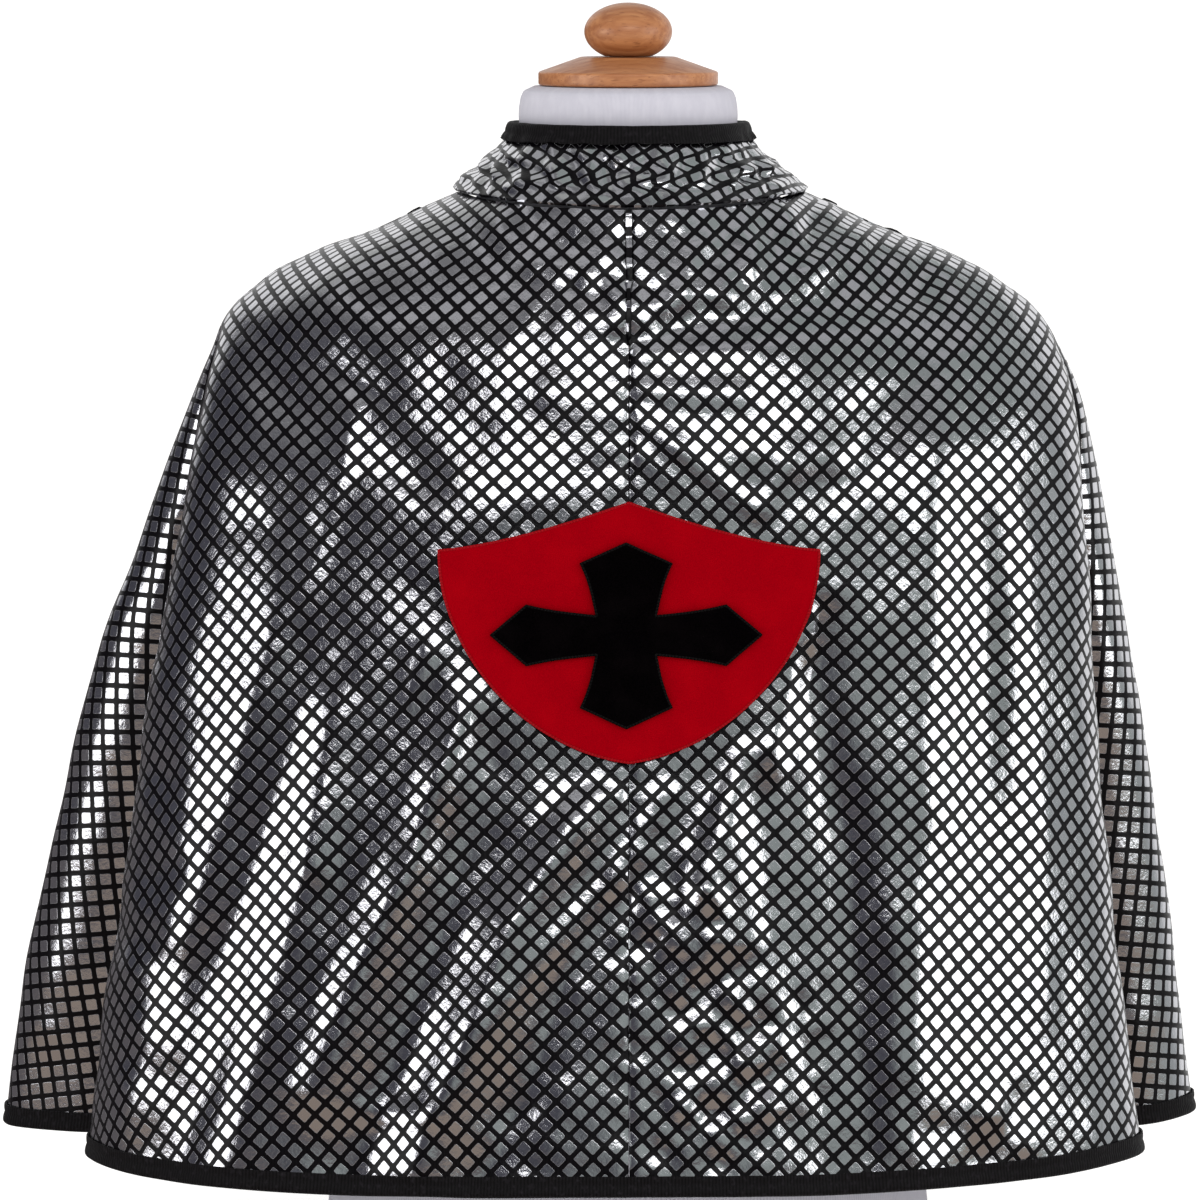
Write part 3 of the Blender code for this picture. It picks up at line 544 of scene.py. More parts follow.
def shield_edge(across):
    """Heights of the shield's bottom and top edges above its tip, at a share of its half width."""
    q = np.abs(across)
    ellipse = 1 - np.sqrt(np.clip(1 - q * q, 0, 1))
    low = SHIELD_CORNER_HEIGHT * ((1 - SHIELD_POINTED) * ellipse + SHIELD_POINTED * q)
    high = SHIELD_CORNER_HEIGHT + SHIELD_PEAK_RISE * (1 - q) ** SHIELD_PEAK_CURVE
    return low, high


def calm(x, z, margin):
    """0 under the shield and its margin, rising to 1 past them."""
    low, high = shield_edge(np.clip(x / SHIELD_HALF_WIDTH, -1, 1))
    up = z - SHIELD_TIP_Z
    beyond = np.maximum(np.abs(x) - SHIELD_HALF_WIDTH, np.maximum(low - up, up - high))
    return smooth_step(beyond, margin, margin + CALM_EDGE)


def fold_rise(x, z, folds):
    """Sum of soft folds: each is a bell across its line, with its rise and width eased along it.

    A row that starts where the row before it ends carries on the same fold, so the nearer of the two counts.
    """
    total, bell, near = np.zeros_like(x), np.zeros_like(x), np.zeros_like(x)
    end = None
    for row in folds:
        fold = dict(zip(FOLD_NAMES, (MM * size for size in row)))
        run_x, run_z = fold["x_low"] - fold["x_top"], fold["z_low"] - fold["z_top"]
        from_x, from_z = x - fold["x_top"], z - fold["z_top"]
        along = np.clip((from_x * run_x + from_z * run_z) / (run_x**2 + run_z**2), 0, 1)
        off = np.hypot(from_x - along * run_x, from_z - along * run_z)
        wide = fold["wide_top"] + (fold["wide_low"] - fold["wide_top"]) * along
        rise = fold["rise_top"] + (fold["rise_low"] - fold["rise_top"]) * smooth_step(along, 0, 1)
        carries_on = row[:2] == end
        total += 0 if carries_on else bell
        here = rise * np.exp(-((off / wide) ** 2))
        bell = np.where(off < near, here, bell) if carries_on else here
        near = np.minimum(off, near) if carries_on else off
        end = row[2:4]
    return total + bell


def crumple_rise(x, y, z):
    """Small ripples: even ones all over, and larger ones that fade out from the middle of each patch."""
    total = EVEN_CRUMPLE_RISE * MM * waves(x + y, z, EVEN_CRUMPLE_LENGTH * MM, EVEN_SEED)
    for seed, row in enumerate(CRUMPLES, FIRST_CRUMPLE_SEED):
        patch = dict(zip(CRUMPLE_NAMES, (MM * size for size in row)))
        off = np.hypot((x - patch["x"]) / patch["wide"], (z - patch["z"]) / patch["high"])
        total += patch["rise"] * waves(x, z, patch["length"], seed) * np.exp(-(off**2)) * (y < 0)
    return total


def cape_point(side, around, share):
    """The cape's outer face: the plain form, moved out along its normal by its folds and creases."""
    base, angle = plain_point(side, around, share)
    strength = 1 - smooth_step(np.minimum(angle, 180 - angle), FOLDS_WHOLE, FOLDS_GONE)
    x, y, z = np.moveaxis(base, -1, 0)
    on_back = fold_rise(x, z, BACK_FOLDS) * calm(x, z, CALM_MARGIN)
    on_back += fold_rise(x, z, BACK_CREASES) * calm(x, z, 0)
    on_front = fold_rise(x, z, FRONT_FOLDS) + fold_rise(x, z, FRONT_CREASES)
    rise = np.where(angle < 90, on_back, on_front) * strength
    beside = smooth_step(angle, SIDE_FROM, SIDE_WHOLE) * (1 - smooth_step(angle, SIDE_FADES, SIDE_GONE))
    rise += fold_rise(x, z, SIDE_CREASES) * beside
    rise += crumple_rise(x, y, z) * calm(x, np.where(y < 0, z, 0), 0)
    return base + outward(side, around, share) * rise[..., None]


def panel_points(side, front, step):
    """Outer points of a panel, in columns to the viewer's right, rolled in and puckered at its seams.

    The roll is a bell across the seam, and the pucker a sine of the height under a wider bell.
    """
    rows = np.linspace(0, 1, round(PANEL_LENGTH / step) + 1)
    seam = seam_share(side)
    nudge = 1e-3
    stretch = plain_point(side, seam + nudge, rows)[0] - plain_point(side, seam - nudge, rows)[0]
    off = 0.5 * SEAM_SPACE / (np.linalg.norm(stretch, axis=-1) / (2 * nudge))
    even = np.linspace(0, 1, round(PANEL_WIDTH / step) + 1)
    even = np.sort(np.concatenate([even, SEAM_COLUMNS, 1 - SEAM_COLUMNS]))
    first = seam + off if front else np.zeros_like(rows)
    last = np.ones_like(rows) if front else seam - off
    around = first[:, None] + (last - first)[:, None] * even
    share = np.broadcast_to(rows[:, None], around.shape)
    points = cape_point(side, around, share)
    if not front:
        points[:, 0, 0] = side * 0.5 * SEAM_SPACE
    across = lengths_along(points, 1)
    to_seam = across if front else np.minimum(across, across[:, -1:] - across)
    drift = PUCKER_SWAY * waves(share, share, PUCKER_DRIFT, PUCKER_SEED)
    pucker = np.sin(2 * math.pi * points[..., 2] / PUCKER_LENGTH + drift)
    pucker *= np.exp(-((to_seam / PUCKER_WIDTH) ** 2)) * smooth_step(to_seam, 0, PUCKER_START)
    rise = PUCKER_RISE * pucker
    rise -= SEAM_ROLL * np.exp(-((to_seam / SEAM_ROLL_WIDTH) ** 2))
    points = points + grid_normals(points, side) * rise[..., None]
    return points if side == RIGHT else points[:, ::-1]


def grid_normals(points, side=RIGHT):
    """Outward unit normals of a grid of outer points whose columns run to the viewer's right."""
    down, across = np.gradient(points, axis=0), np.gradient(points, axis=1)
    return unit(side * np.cross(down, across))


def collar_point(around, share):
    """The collar's outer face. Around is an angle from the centre back, negative on the left.

    An oval, width by sine and depth by cosine, moved out by waves and crumples that are largest halfway up,
    and at its left end lifted to lap over the right.
    """
    angle = np.radians(around)
    width = np.where(around < 0, ring_size("left", share, COLLAR), ring_size("right", share, COLLAR))
    back, front = ring_size("back", share, COLLAR), ring_size("front", share, COLLAR)
    lifted = COLLAR_LAP_LIFT * smooth_step(-around, 180 - COLLAR_LAP_EASE, COLLAR_END)
    wave = COLLAR_WAVE_RISE * np.sin(COLLAR_WAVES * angle) * np.sin(math.pi * share)
    crumple = waves(angle * width, share * COLLAR_HEIGHT, COLLAR_CRUMPLE_LENGTH, COLLAR_SEED)
    out = lifted + wave + COLLAR_CRUMPLE_RISE * crumple * np.sin(math.pi * share)
    x = (width + out) * np.sin(angle)
    y = -(np.where(np.cos(angle) > 0, back, front) + out) * np.cos(angle)
    return np.stack([x, y, ring_height(angle, share, COLLAR)], axis=-1)


# The flat cut


def between(places, at):
    """Weights that read a line, known at a few places along it, at other places."""
    return np.stack([np.interp(at, places, row) for row in np.eye(len(places))], axis=-1)


def relaxed(flat, points, rounds):
    """Moves flat points until their spacing along rows, columns and diagonals is that of the cloth."""
    whole, ahead, back = slice(None), slice(1, None), slice(None, -1)
    pairs = (
        ((whole, back), (whole, ahead)),
        ((back, whole), (ahead, whole)),
        ((back, back), (ahead, ahead)),
        ((back, ahead), (ahead, back)),
    )
    wanted = [np.linalg.norm(points[b] - points[a], axis=-1, keepdims=True) for a, b in pairs]
    for _ in range(rounds):
        move = np.zeros_like(flat)
        for (a, b), length in zip(pairs, wanted):
            gap = flat[b] - flat[a]
            pull = gap * (1 - length / np.linalg.norm(gap, axis=-1, keepdims=True))
            move[a] += pull
            move[b] -= pull
        flat = flat + FLAT_PULL * move
    return flat


def flat_cut(points, straight_column):
    """Lays a panel's grid out flat, from a coarse grid to finer ones, with one column upright at x = 0."""
    down = lengths_along(points, 0).mean(axis=1)
    across = lengths_along(points, 1).mean(axis=0)
    flat = None
    for size, rounds in FLAT_GRIDS:
        rows = np.unique(np.linspace(0, len(down) - 1, min(size, len(down))).round().astype(int))
        columns = np.unique(np.linspace(0, len(across) - 1, min(size, len(across))).round().astype(int))
        coarse = points[np.ix_(rows, columns)]
        if flat is None:
            flat = np.stack([lengths_along(coarse, 1), -lengths_along(coarse, 0)], axis=-1)
        else:
            to_rows, to_columns = between(known[0], down[rows]), between(known[1], across[columns])
            flat = np.einsum("ra,abk,cb->rck", to_rows, flat, to_columns)
        flat = relaxed(flat, coarse, rounds)
        known = down[rows], across[columns]
    flat = np.einsum("ra,abk,cb->rck", between(known[0], down), flat, between(known[1], across))
    edge = flat[:, straight_column]
    slant = math.atan2(edge[0, 0] - edge[-1, 0], edge[0, 1] - edge[-1, 1])
    turn = np.array([[math.cos(slant), math.sin(slant)], [-math.sin(slant), math.cos(slant)]])
    return (flat - edge[0]) @ turn


def bent_strip(points):
    """Lays a collar's grid out flat as part of a ring, with its width and length along the bend.

    Each row is an arc as long as the row itself, and the rows' longest and shortest set the ring's radius.
    """
    along, down = lengths_along(points, 1), lengths_along(points, 0).mean(axis=1)
    short, wide, high = along[0, -1], along[-1, -1], down[-1]
    radius = high * short / (wide - short)
    angle = (along / along[:, -1:] - 0.5) * short / radius
    far = (radius + down)[:, None]
    flat = np.stack([far * np.sin(angle), radius - far * np.cos(angle)], axis=-1)
    return flat, wide, high


def turned(flat, degrees):
    """Flat points turned about the origin."""
    angle = math.radians(degrees)
    return flat @ np.array([[math.cos(angle), math.sin(angle)], [-math.sin(angle), math.cos(angle)]])


def cut_size(flat):
    """Width, length and area of a flat cut, the area by the cross products of its cells' diagonals."""
    width, length = np.ptp(flat.reshape(-1, 2), axis=0)
    one, two = flat[1:, 1:] - flat[:-1, :-1], flat[1:, :-1] - flat[:-1, 1:]
    area = np.abs(one[..., 0] * two[..., 1] - one[..., 1] * two[..., 0]).sum() / 2
    return width, length, area


# Meshes


def grid_faces(count_rows, count_columns, start=0, close_columns=False):
    """Corners of the cells of a grid of points, facing the way of grid_normals."""
    corner = start + np.arange(count_rows * count_columns).reshape(count_rows, count_columns)
    if close_columns:
        corner = np.concatenate([corner, corner[:, :1]], axis=1)
    cells = (corner[:-1, :-1], corner[1:, :-1], corner[1:, 1:], corner[:-1, 1:])
    return np.stack(cells, axis=-1).reshape(-1, 4)


def closing_fans(total, sides):
    """Triangles that close a tube's first ring and its last ring onto the two points after its rings."""
    first, last = np.arange(sides), np.arange(total - sides, total)
    fan = np.stack([np.full(sides, total), first, np.roll(first, -1)], axis=-1)
    base = np.stack([np.full(sides, total + 1), np.roll(last, -1), last], axis=-1)
    return [*fan.tolist(), *base.tolist()]


def add_piece(name, points, faces, material, smooth_angle=40):
    """A mesh object at the origin, smooth but for its sharp edges."""
    mesh = bpy.data.meshes.new(name)
    mesh.from_pydata(points.reshape(-1, 3), [], faces)
    mesh.materials.append(material)
    mesh.shade_smooth()
    mesh.set_sharp_from_angle(angle=math.radians(smooth_angle))
    piece = bpy.data.objects.new(name, mesh)
    bpy.context.scene.collection.objects.link(piece)
    return piece


def even_grid(across, down):
    """Flat places of a grid of points, from its columns' and its rows' places."""
    return np.stack(np.meshgrid(across, down), axis=-1)


def add_uv(piece, flat):
    """The UV map of the cut, in metres, with one place for each vertex."""
    corners = np.empty(len(piece.data.loops), int)
    piece.data.loops.foreach_get("vertex_index", corners)
    layer = piece.data.uv_layers.new(name="cut")
    layer.data.foreach_set("uv", flat.reshape(-1, 2)[corners].ravel())


def wall(name, points, thickness, material, flat=None):
    """A cloth wall: a grid of outer points, the same moved in by the thickness, and a rim between them.

    The face attribute reverse is 1 on the inner side.
    """
    count_rows, count_columns = points.shape[:2]
    inner = points - grid_normals(points) * thickness
    total = count_rows * count_columns
    outside = grid_faces(count_rows, count_columns)
    index = np.arange(total).reshape(count_rows, count_columns)
    edge = np.concatenate([index[0, :-1], index[:-1, -1], index[-1, :0:-1], index[:0:-1, 0]])
    after = np.roll(edge, -1)
    rim = np.stack([edge, after, after + total, edge + total], axis=-1)
    faces = np.concatenate([outside, rim, outside[:, ::-1] + total])
    piece = add_piece(name, np.concatenate([points, inner]), faces.tolist(), material)
    reverse = np.zeros(len(faces), np.float32)
    reverse[len(outside) + len(rim) :] = 1
    piece.data.attributes.new("reverse", "FLOAT", "FACE").data.foreach_set("value", reverse)
    if flat is not None:
        add_uv(piece, np.concatenate([flat, flat]))
    return piece


def dress(piece, slot, *nodes):
    """Rides a piece on the one body, and hides the solids that it stands for."""
    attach(piece, "root")
    if nodes:
        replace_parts(piece, *nodes)
    return piece


# Materials


def linear(hex_colour):
    """An sRGB hex colour as linear red, green, blue and alpha."""
    parts = [int(hex_colour[i : i + 2], 16) / 255 for i in (0, 2, 4)]
    return [*(c / 12.92 if c <= 0.04045 else ((c + 0.055) / 1.055) ** 2.4 for c in parts), 1]


def plug(tree, socket, value):
    """Links another node's output to a socket, or sets the socket's own value."""
    if isinstance(value, bpy.types.NodeSocket):
        tree.links.new(value, socket)
    else:
        socket.default_value = value


def node(tree, kind, *values, output=0, **settings):
    """Adds a node with its settings and fills its inputs, in order or, from a dictionary, by name.

    The order counts only the sockets that the settings leave in use. Gives the output of a number in that
    order or of a name, or all outputs for None.
    """
    new = tree.nodes.new("ShaderNode" + kind)
    for key, value in settings.items():
        setattr(new, key, value)
    by_name = values and isinstance(values[0], dict)
    sockets = [new.inputs[name] for name in values[0]] if by_name else [s for s in new.inputs if s.enabled]
    for socket, value in zip(sockets, values[0].values() if by_name else values):
        plug(tree, socket, value)
    if output is None or isinstance(output, str):
        return new.outputs[output] if output else new.outputs
    return [socket for socket in new.outputs if socket.enabled][output]


def new_material(name):
    """An empty Principled material, its node tree and its shader."""
    material = bpy.data.materials.new(name)
    material.use_nodes = True
    return material, material.node_tree, material.node_tree.nodes["Principled BSDF"]


def wire(tree, shader, sockets):
    """Fills a shader's sockets by name."""
    for name, value in sockets.items():
        plug(tree, shader.inputs[name], value)


def wave_scale(pitch):
    """The scale of a wave texture whose bands lie a pitch apart."""
    return math.pi / (10 * pitch)


def foil_cloth(settings):
    """Black knit with printed squares of hot-stamped silver foil: mirror-like film, crinkled by the knit.

    The film is metal, with a soft-edged square in each cell of the cut's own grid. Each square sits at a
    slightly different tilt, so neighbours catch the light unequally, and fine crinkles break it up.
    """
    material, tree, shader = new_material("hot_stamped_foil_on_black_knit")
    cut = node(tree, "UVMap", uv_map="cut")
    each = 1 / settings.pitch
    cells = node(tree, "VectorMath", cut, (each, each, 0), operation="MULTIPLY")
    ragged = {"Vector": cut, "Scale": 1 / (1.3 * MM), "Detail": 2}
    shift = node(tree, "TexNoise", ragged, output="Color", noise_dimensions="2D")
    shift = node(tree, "VectorMath", shift, MIDDLE, operation="SUBTRACT")
    shift = node(tree, "VectorMath", shift, RAGGED_EDGE, operation="SCALE")
    cells = node(tree, "VectorMath", cells, shift, operation="ADD")
    within = node(tree, "VectorMath", cells, operation="FRACTION")
    within = node(tree, "VectorMath", within, (0.5, 0.5, 0), operation="SUBTRACT")
    within = node(tree, "VectorMath", within, operation="ABSOLUTE")
    sides = node(tree, "SeparateXYZ", within, output=None)
    # The distance from a cell's middle, by a high power of its sides, rounds the square's corners
    powers = [node(tree, "Math", sides[axis], ROUNDING, operation="POWER") for axis in "XY"]
    reach = node(tree, "Math", *powers, operation="ADD")
    reach = node(tree, "Math", reach, 1 / ROUNDING, operation="POWER")
    half = 0.5 * settings.square / settings.pitch
    edge = (half + SOFT_EDGE, half - SOFT_EDGE)
    square = node(tree, "MapRange", reach, *edge, interpolation_type="SMOOTHSTEP")
    reverse = node(tree, "Attribute", output="Fac", attribute_name="reverse")
    outer = node(tree, "MapRange", reverse, 0.0, 1.0, 1.0, 0.0)
    foil = node(tree, "Math", square, outer, operation="MULTIPLY")
    number = node(tree, "VectorMath", cells, operation="FLOOR")
    lot = node(tree, "TexWhiteNoise", number, output=None, noise_dimensions="2D")
    crinkle = {"Vector": cut, "Scale": 1 / (1.5 * MM), "Detail": 3, "Roughness": 0.55}
    crinkle = node(tree, "TexNoise", crinkle, noise_dimensions="2D")
    tone = node(tree, "Mix", lot["Value"], linear("cfcfd4"), linear(settings.foil), data_type="RGBA")
    knit = {"Vector": cut, "Scale": wave_scale(0.974 * MM), "Distortion": 2, "Detail": 1}
    knit = node(tree, "TexWave", knit, output="Fac", wave_type="BANDS", bands_direction="DIAGONAL")
    yarn = node(tree, "Mix", knit, linear("020103"), linear(settings.knit), data_type="RGBA")
    tilt = node(tree, "VectorMath", lot["Color"], MIDDLE, operation="SUBTRACT")
    tilt = node(tree, "VectorMath", tilt, SQUARE_TILT, operation="SCALE")
    normal = node(tree, "NewGeometry", output="Normal")
    normal = node(tree, "VectorMath", normal, tilt, operation="ADD")
    normal = node(tree, "VectorMath", normal, operation="NORMALIZE")
    film = node(tree, "Math", foil, 0.25, operation="MULTIPLY")
    relief = node(tree, "Math", crinkle, 0.8, film, operation="MULTIPLY_ADD")
    bump = {"Strength": 0.5, "Distance": 0.2 * MM, "Height": relief, "Normal": normal}
    rough = node(tree, "MapRange", crinkle, 0.3, 0.7, 0.10, 0.17)
    rough = node(tree, "Math", rough, KNIT_ROUGHNESS, operation="SUBTRACT")
    wire(tree, shader, {
        "Base Color": node(tree, "Mix", foil, yarn, tone, data_type="RGBA"),
        "Metallic": foil,
        "Roughness": node(tree, "Math", rough, foil, KNIT_ROUGHNESS, operation="MULTIPLY_ADD"),
        "Normal": node(tree, "Bump", bump),
        "Specular IOR Level": 0.18,
    })
    return material


def knit_binding():
    """Fine black rib knit, folded over the raw edge: matte, with ribs across the strip."""
    material, tree, shader = new_material("black_rib_knit")
    cut = node(tree, "UVMap", uv_map="cut")
    ribs = {"Vector": cut, "Scale": wave_scale(1.382 * MM), "Distortion": 0.6, "Detail": 1}
    ribs = node(tree, "TexWave", ribs, output="Fac", wave_type="BANDS", bands_direction="X")
    lint = {"Vector": cut, "Scale": 1 / (2 * MM), "Detail": 4}
    lint = node(tree, "TexNoise", lint, noise_dimensions="2D")
    tone = node(tree, "Mix", ribs, linear("050405"), linear("100d10"), data_type="RGBA")
    specks = node(tree, "MapRange", lint, 0.55, 0.8)
    wire(tree, shader, {
        "Base Color": node(tree, "Mix", specks, tone, linear("1c191d"), data_type="RGBA"),
        "Roughness": node(tree, "MapRange", lint, 0.3, 0.7, 0.55, 0.8),
        "Normal": node(tree, "Bump", {"Strength": 0.5, "Distance": 0.25 * MM, "Height": ribs}),
        "Specular IOR Level": 0.12,
        "Sheen Weight": 0.02,
        "Sheen Roughness": 0.45,
    })
    return material


def felt(name, colour, dark, light):
    """Pressed wool felt: matte, with short fibres lying all ways and a soft fuzz that catches the light."""
    material, tree, shader = new_material(name)
    place = node(tree, "TexCoord", output="Object")
    fibres = {"Vector": place, "Scale": 1 / (0.55 * MM), "Detail": 5, "Roughness": 0.7}
    fibres = node(tree, "TexNoise", fibres)
    cloud = node(tree, "TexNoise", {"Vector": place, "Scale": 1 / (14 * MM), "Detail": 3})
    fuzz = node(tree, "MapRange", fibres, 0.38, 0.66)
    tone = node(tree, "Mix", fuzz, linear(dark), linear(colour), data_type="RGBA")
    worn = node(tree, "MapRange", cloud, 0.45, 0.75, 0.0, 0.5)
    wire(tree, shader, {
        "Base Color": node(tree, "Mix", worn, tone, linear(light), data_type="RGBA"),
        "Roughness": node(tree, "MapRange", fibres, 0.3, 0.7, 0.8, 0.95),
        "Normal": node(tree, "Bump", {"Strength": 0.5, "Distance": 0.25 * MM, "Height": fibres}),
        "Specular IOR Level": 0.0,
    })
    return material


def thread(name, colour, dark):
    """Close satin stitches of rayon thread: a soft gloss, broken by each stitch."""
    material, tree, shader = new_material(name)
    cut = node(tree, "UVMap", uv_map="cut")
    # Real threads lie 0.45 mm apart, too fine to show, so they are drawn three times as coarse
    laid = {"Vector": cut, "Scale": wave_scale(3 * 0.45 * MM), "Distortion": 1.0}
    laid = node(tree, "TexWave", laid, output="Fac", wave_type="BANDS", bands_direction="X")
    wire(tree, shader, {
        "Base Color": node(tree, "Mix", laid, linear(dark), linear(colour), data_type="RGBA"),
        "Roughness": node(tree, "MapRange", laid, 0.0, 1.0, 0.8, 0.6),
        "Normal": node(tree, "Bump", {"Strength": 0.8, "Distance": 0.3 * MM, "Height": laid}),
        "Specular IOR Level": 0.08,
    })
    return material


def jersey(settings):
    """White cotton jersey stretched over the form: matte, with fine upright wales and a faint slub."""
    material, tree, shader = new_material("white_cotton_jersey")
    cut = node(tree, "UVMap", uv_map="cut")
    wales = {"Vector": cut, "Scale": wave_scale(1.257 * MM), "Distortion": 0.8, "Detail": 2}
    wales = node(tree, "TexWave", wales, output="Fac", wave_type="BANDS", bands_direction="X")
    slub = {"Vector": cut, "Scale": 1 / (9 * MM), "Detail": 4}
    slub = node(tree, "TexNoise", slub, noise_dimensions="2D")
    tone = node(tree, "Mix", wales, linear("b0aeb8"), linear(settings.jersey), data_type="RGBA")
    thick = node(tree, "MapRange", slub, 0.4, 0.7, 0.0, 0.35)
    wire(tree, shader, {
        "Base Color": node(tree, "Mix", thick, tone, linear("c8c6cd"), data_type="RGBA"),
        "Roughness": node(tree, "MapRange", slub, 0.3, 0.7, 0.8, 0.95),
        "Normal": node(tree, "Bump", {"Strength": 0.25, "Distance": 0.2 * MM, "Height": wales}),
        "Sheen Weight": 0.03,
    })
    return material


def beech(settings):
    """Turned beech under satin varnish: fine grain across the axis, short dark flecks, a soft gloss."""
    material, tree, shader = new_material("varnished_beech")
    place = node(tree, "TexCoord", output="Object")
    drawn = {"Vector": place, "Scale": (0.09, 1.0, 1.0), "Rotation": (0.12, 0.05, 0.3)}
    drawn = node(tree, "Mapping", drawn)
    grain = {"Vector": drawn, "Scale": 1 / (2.2 * MM), "Detail": 6, "Distortion": 0.35}
    grain = node(tree, "TexNoise", grain)
    rings = {"Vector": drawn, "Scale": wave_scale(8.168 * MM), "Distortion": 5, "Detail": 3}
    rings = node(tree, "TexWave", rings, output="Fac", wave_type="BANDS", bands_direction="Z")
    flecks = node(tree, "Mapping", {"Vector": place, "Scale": (0.12, 1.0, 1.0)})
    flecks = node(tree, "TexNoise", {"Vector": flecks, "Scale": 1 / (0.8 * MM), "Detail": 1})
    tone = linear(settings.wood)
    for amount, colour in (
        (node(tree, "MapRange", grain, 0.35, 0.7), settings.grain),
        (node(tree, "MapRange", rings, 0.55, 1.0, 0.0, 0.45), "985c34"),
        (node(tree, "MapRange", flecks, 0.62, 0.72, 0.0, 0.6), "743f1f"),
    ):
        tone = node(tree, "Mix", amount, tone, linear(colour), data_type="RGBA")
    wire(tree, shader, {
        "Base Color": tone,
        "Roughness": node(tree, "MapRange", grain, 0.3, 0.7, 0.34, 0.46),
        "Normal": node(tree, "Bump", {"Strength": 0.12, "Distance": 0.15 * MM, "Height": flecks}),
        "Coat Weight": 0.15,
        "Coat Roughness": 0.22,
    })
    return material


# Pieces


class CAPE_OT_panels(bpy.types.Operator):
    """Make the two back and two front panels of foil cloth"""

    bl_idname = "cape.panels"
    bl_label = "Panels"

    def execute(self, context):
        settings = context.scene.cape
        cloth = foil_cloth(settings)
        for side, side_name in ((LEFT, "left"), (RIGHT, "right")):
            for front, face_name in ((False, "back"), (True, "front")):
                points = panel_points(side, front, settings.step)
                straight = 0 if side == RIGHT else -1
                flat = flat_cut(points, straight)
                grid = turned(flat, FRONT_BIAS if front else BACK_BIAS)
                node_name = f"{face_name}_{side_name}"
                piece = wall(node_name + "_panel", points, settings.cloth, cloth, grid)
                dress(piece, "foil_cloth", node_name)
        return {"FINISHED"}


class CAPE_OT_collar(bpy.types.Operator):
    """Make the stand collar of foil cloth"""

    bl_idname = "cape.collar"
    bl_label = "Collar"

    def execute(self, context):
        settings = context.scene.cape
        points = collar_points()
        flat, width, length = bent_strip(points)
        cloth = bpy.data.materials["hot_stamped_foil_on_black_knit"]
        piece = wall("collar_cloth", points, settings.cloth, cloth, turned(flat, COLLAR_BIAS))
        dress(piece, "foil_cloth", "collar")
        area = cut_size(flat)[2]
        return {"FINISHED"}


def collar_points():
    """A grid of the collar's outer points, from its top edge down and from its lapped left end round."""
    start = -(180 + COLLAR_LAP_ANGLE)
    around = np.linspace(start, COLLAR_END, COLLAR_COLUMNS)
    return collar_point(*np.meshgrid(around, np.linspace(1, 0, COLLAR_ROWS)))


def mitred_out(edge, over, turn):
    """Vectors that move a wall's edge out by one unit of its faces, mitred where two faces meet."""
    faces = unit(turn * np.cross(0.5 * (over[:-1] + over[1:]), np.diff(edge, axis=0)))
    before = np.concatenate([faces[:1], faces])
    after = np.concatenate([faces, faces[-1:]])
    return (before + after) / (1 + np.sum(before * after, axis=-1, keepdims=True))


def band_section(settings):
    """The folded section of a binding, out of the wall and past its edge: two legs and a rounded fold."""
    near, far = BINDING_EASE, BINDING_EASE + settings.binding
    half = settings.cloth / 2
    turn = np.linspace(0, math.pi, BINDING_FOLD_POINTS)
    leg = np.linspace(-BINDING_HEIGHT, 0, BINDING_LEG_POINTS)
    along_leg = np.linspace(-math.pi / 2, math.pi / 2, BINDING_LEG_POINTS)
    swell = 1 - BINDING_PINCH * np.cos(along_leg) ** BINDING_PINCH_POWER

    def fold(out):
        round_n = -half + (half + out) * np.cos(turn)
        round_d = (BINDING_FOLD * half + out) * np.sin(turn)
        legs_n = out * swell
        n = np.concatenate([legs_n[:-1], round_n, (-2 * half - legs_n)[-2::-1]])
        d = np.concatenate([leg[:-1], round_d, leg[-2::-1]])
        return np.stack([n, d], axis=-1)

    return np.concatenate([fold(far), fold(near)[::-1]])


def band(name, edge, over, turn, settings, material):
    """A binding: its folded section carried along a wall's edge, with both ends filled.

    Each point of the section is moved out of the wall's faces and past its edge by its own two lengths.
    """
    section = band_section(settings)
    out = mitred_out(edge, over, turn)
    rings = edge[:, None] + out[:, None] * section[None, :, :1] + over[:, None] * section[None, :, 1:]
    count, sides = rings.shape[:2]
    faces = grid_faces(count, sides, close_columns=True)
    if turn > 0:
        faces = faces[:, ::-1]
    total = count * sides
    ends = [np.arange(sides), np.arange(total - sides, total)]
    ends[0 if turn > 0 else 1] = ends[0 if turn > 0 else 1][::-1]
    piece = add_piece(name, rings, [*faces.tolist(), *(end.tolist() for end in ends)], material, 50)
    add_uv(piece, even_grid(np.arange(sides) * BINDING_RIB, lengths_along(edge, 0))[..., ::-1])
    return dress(piece, "black_binding")


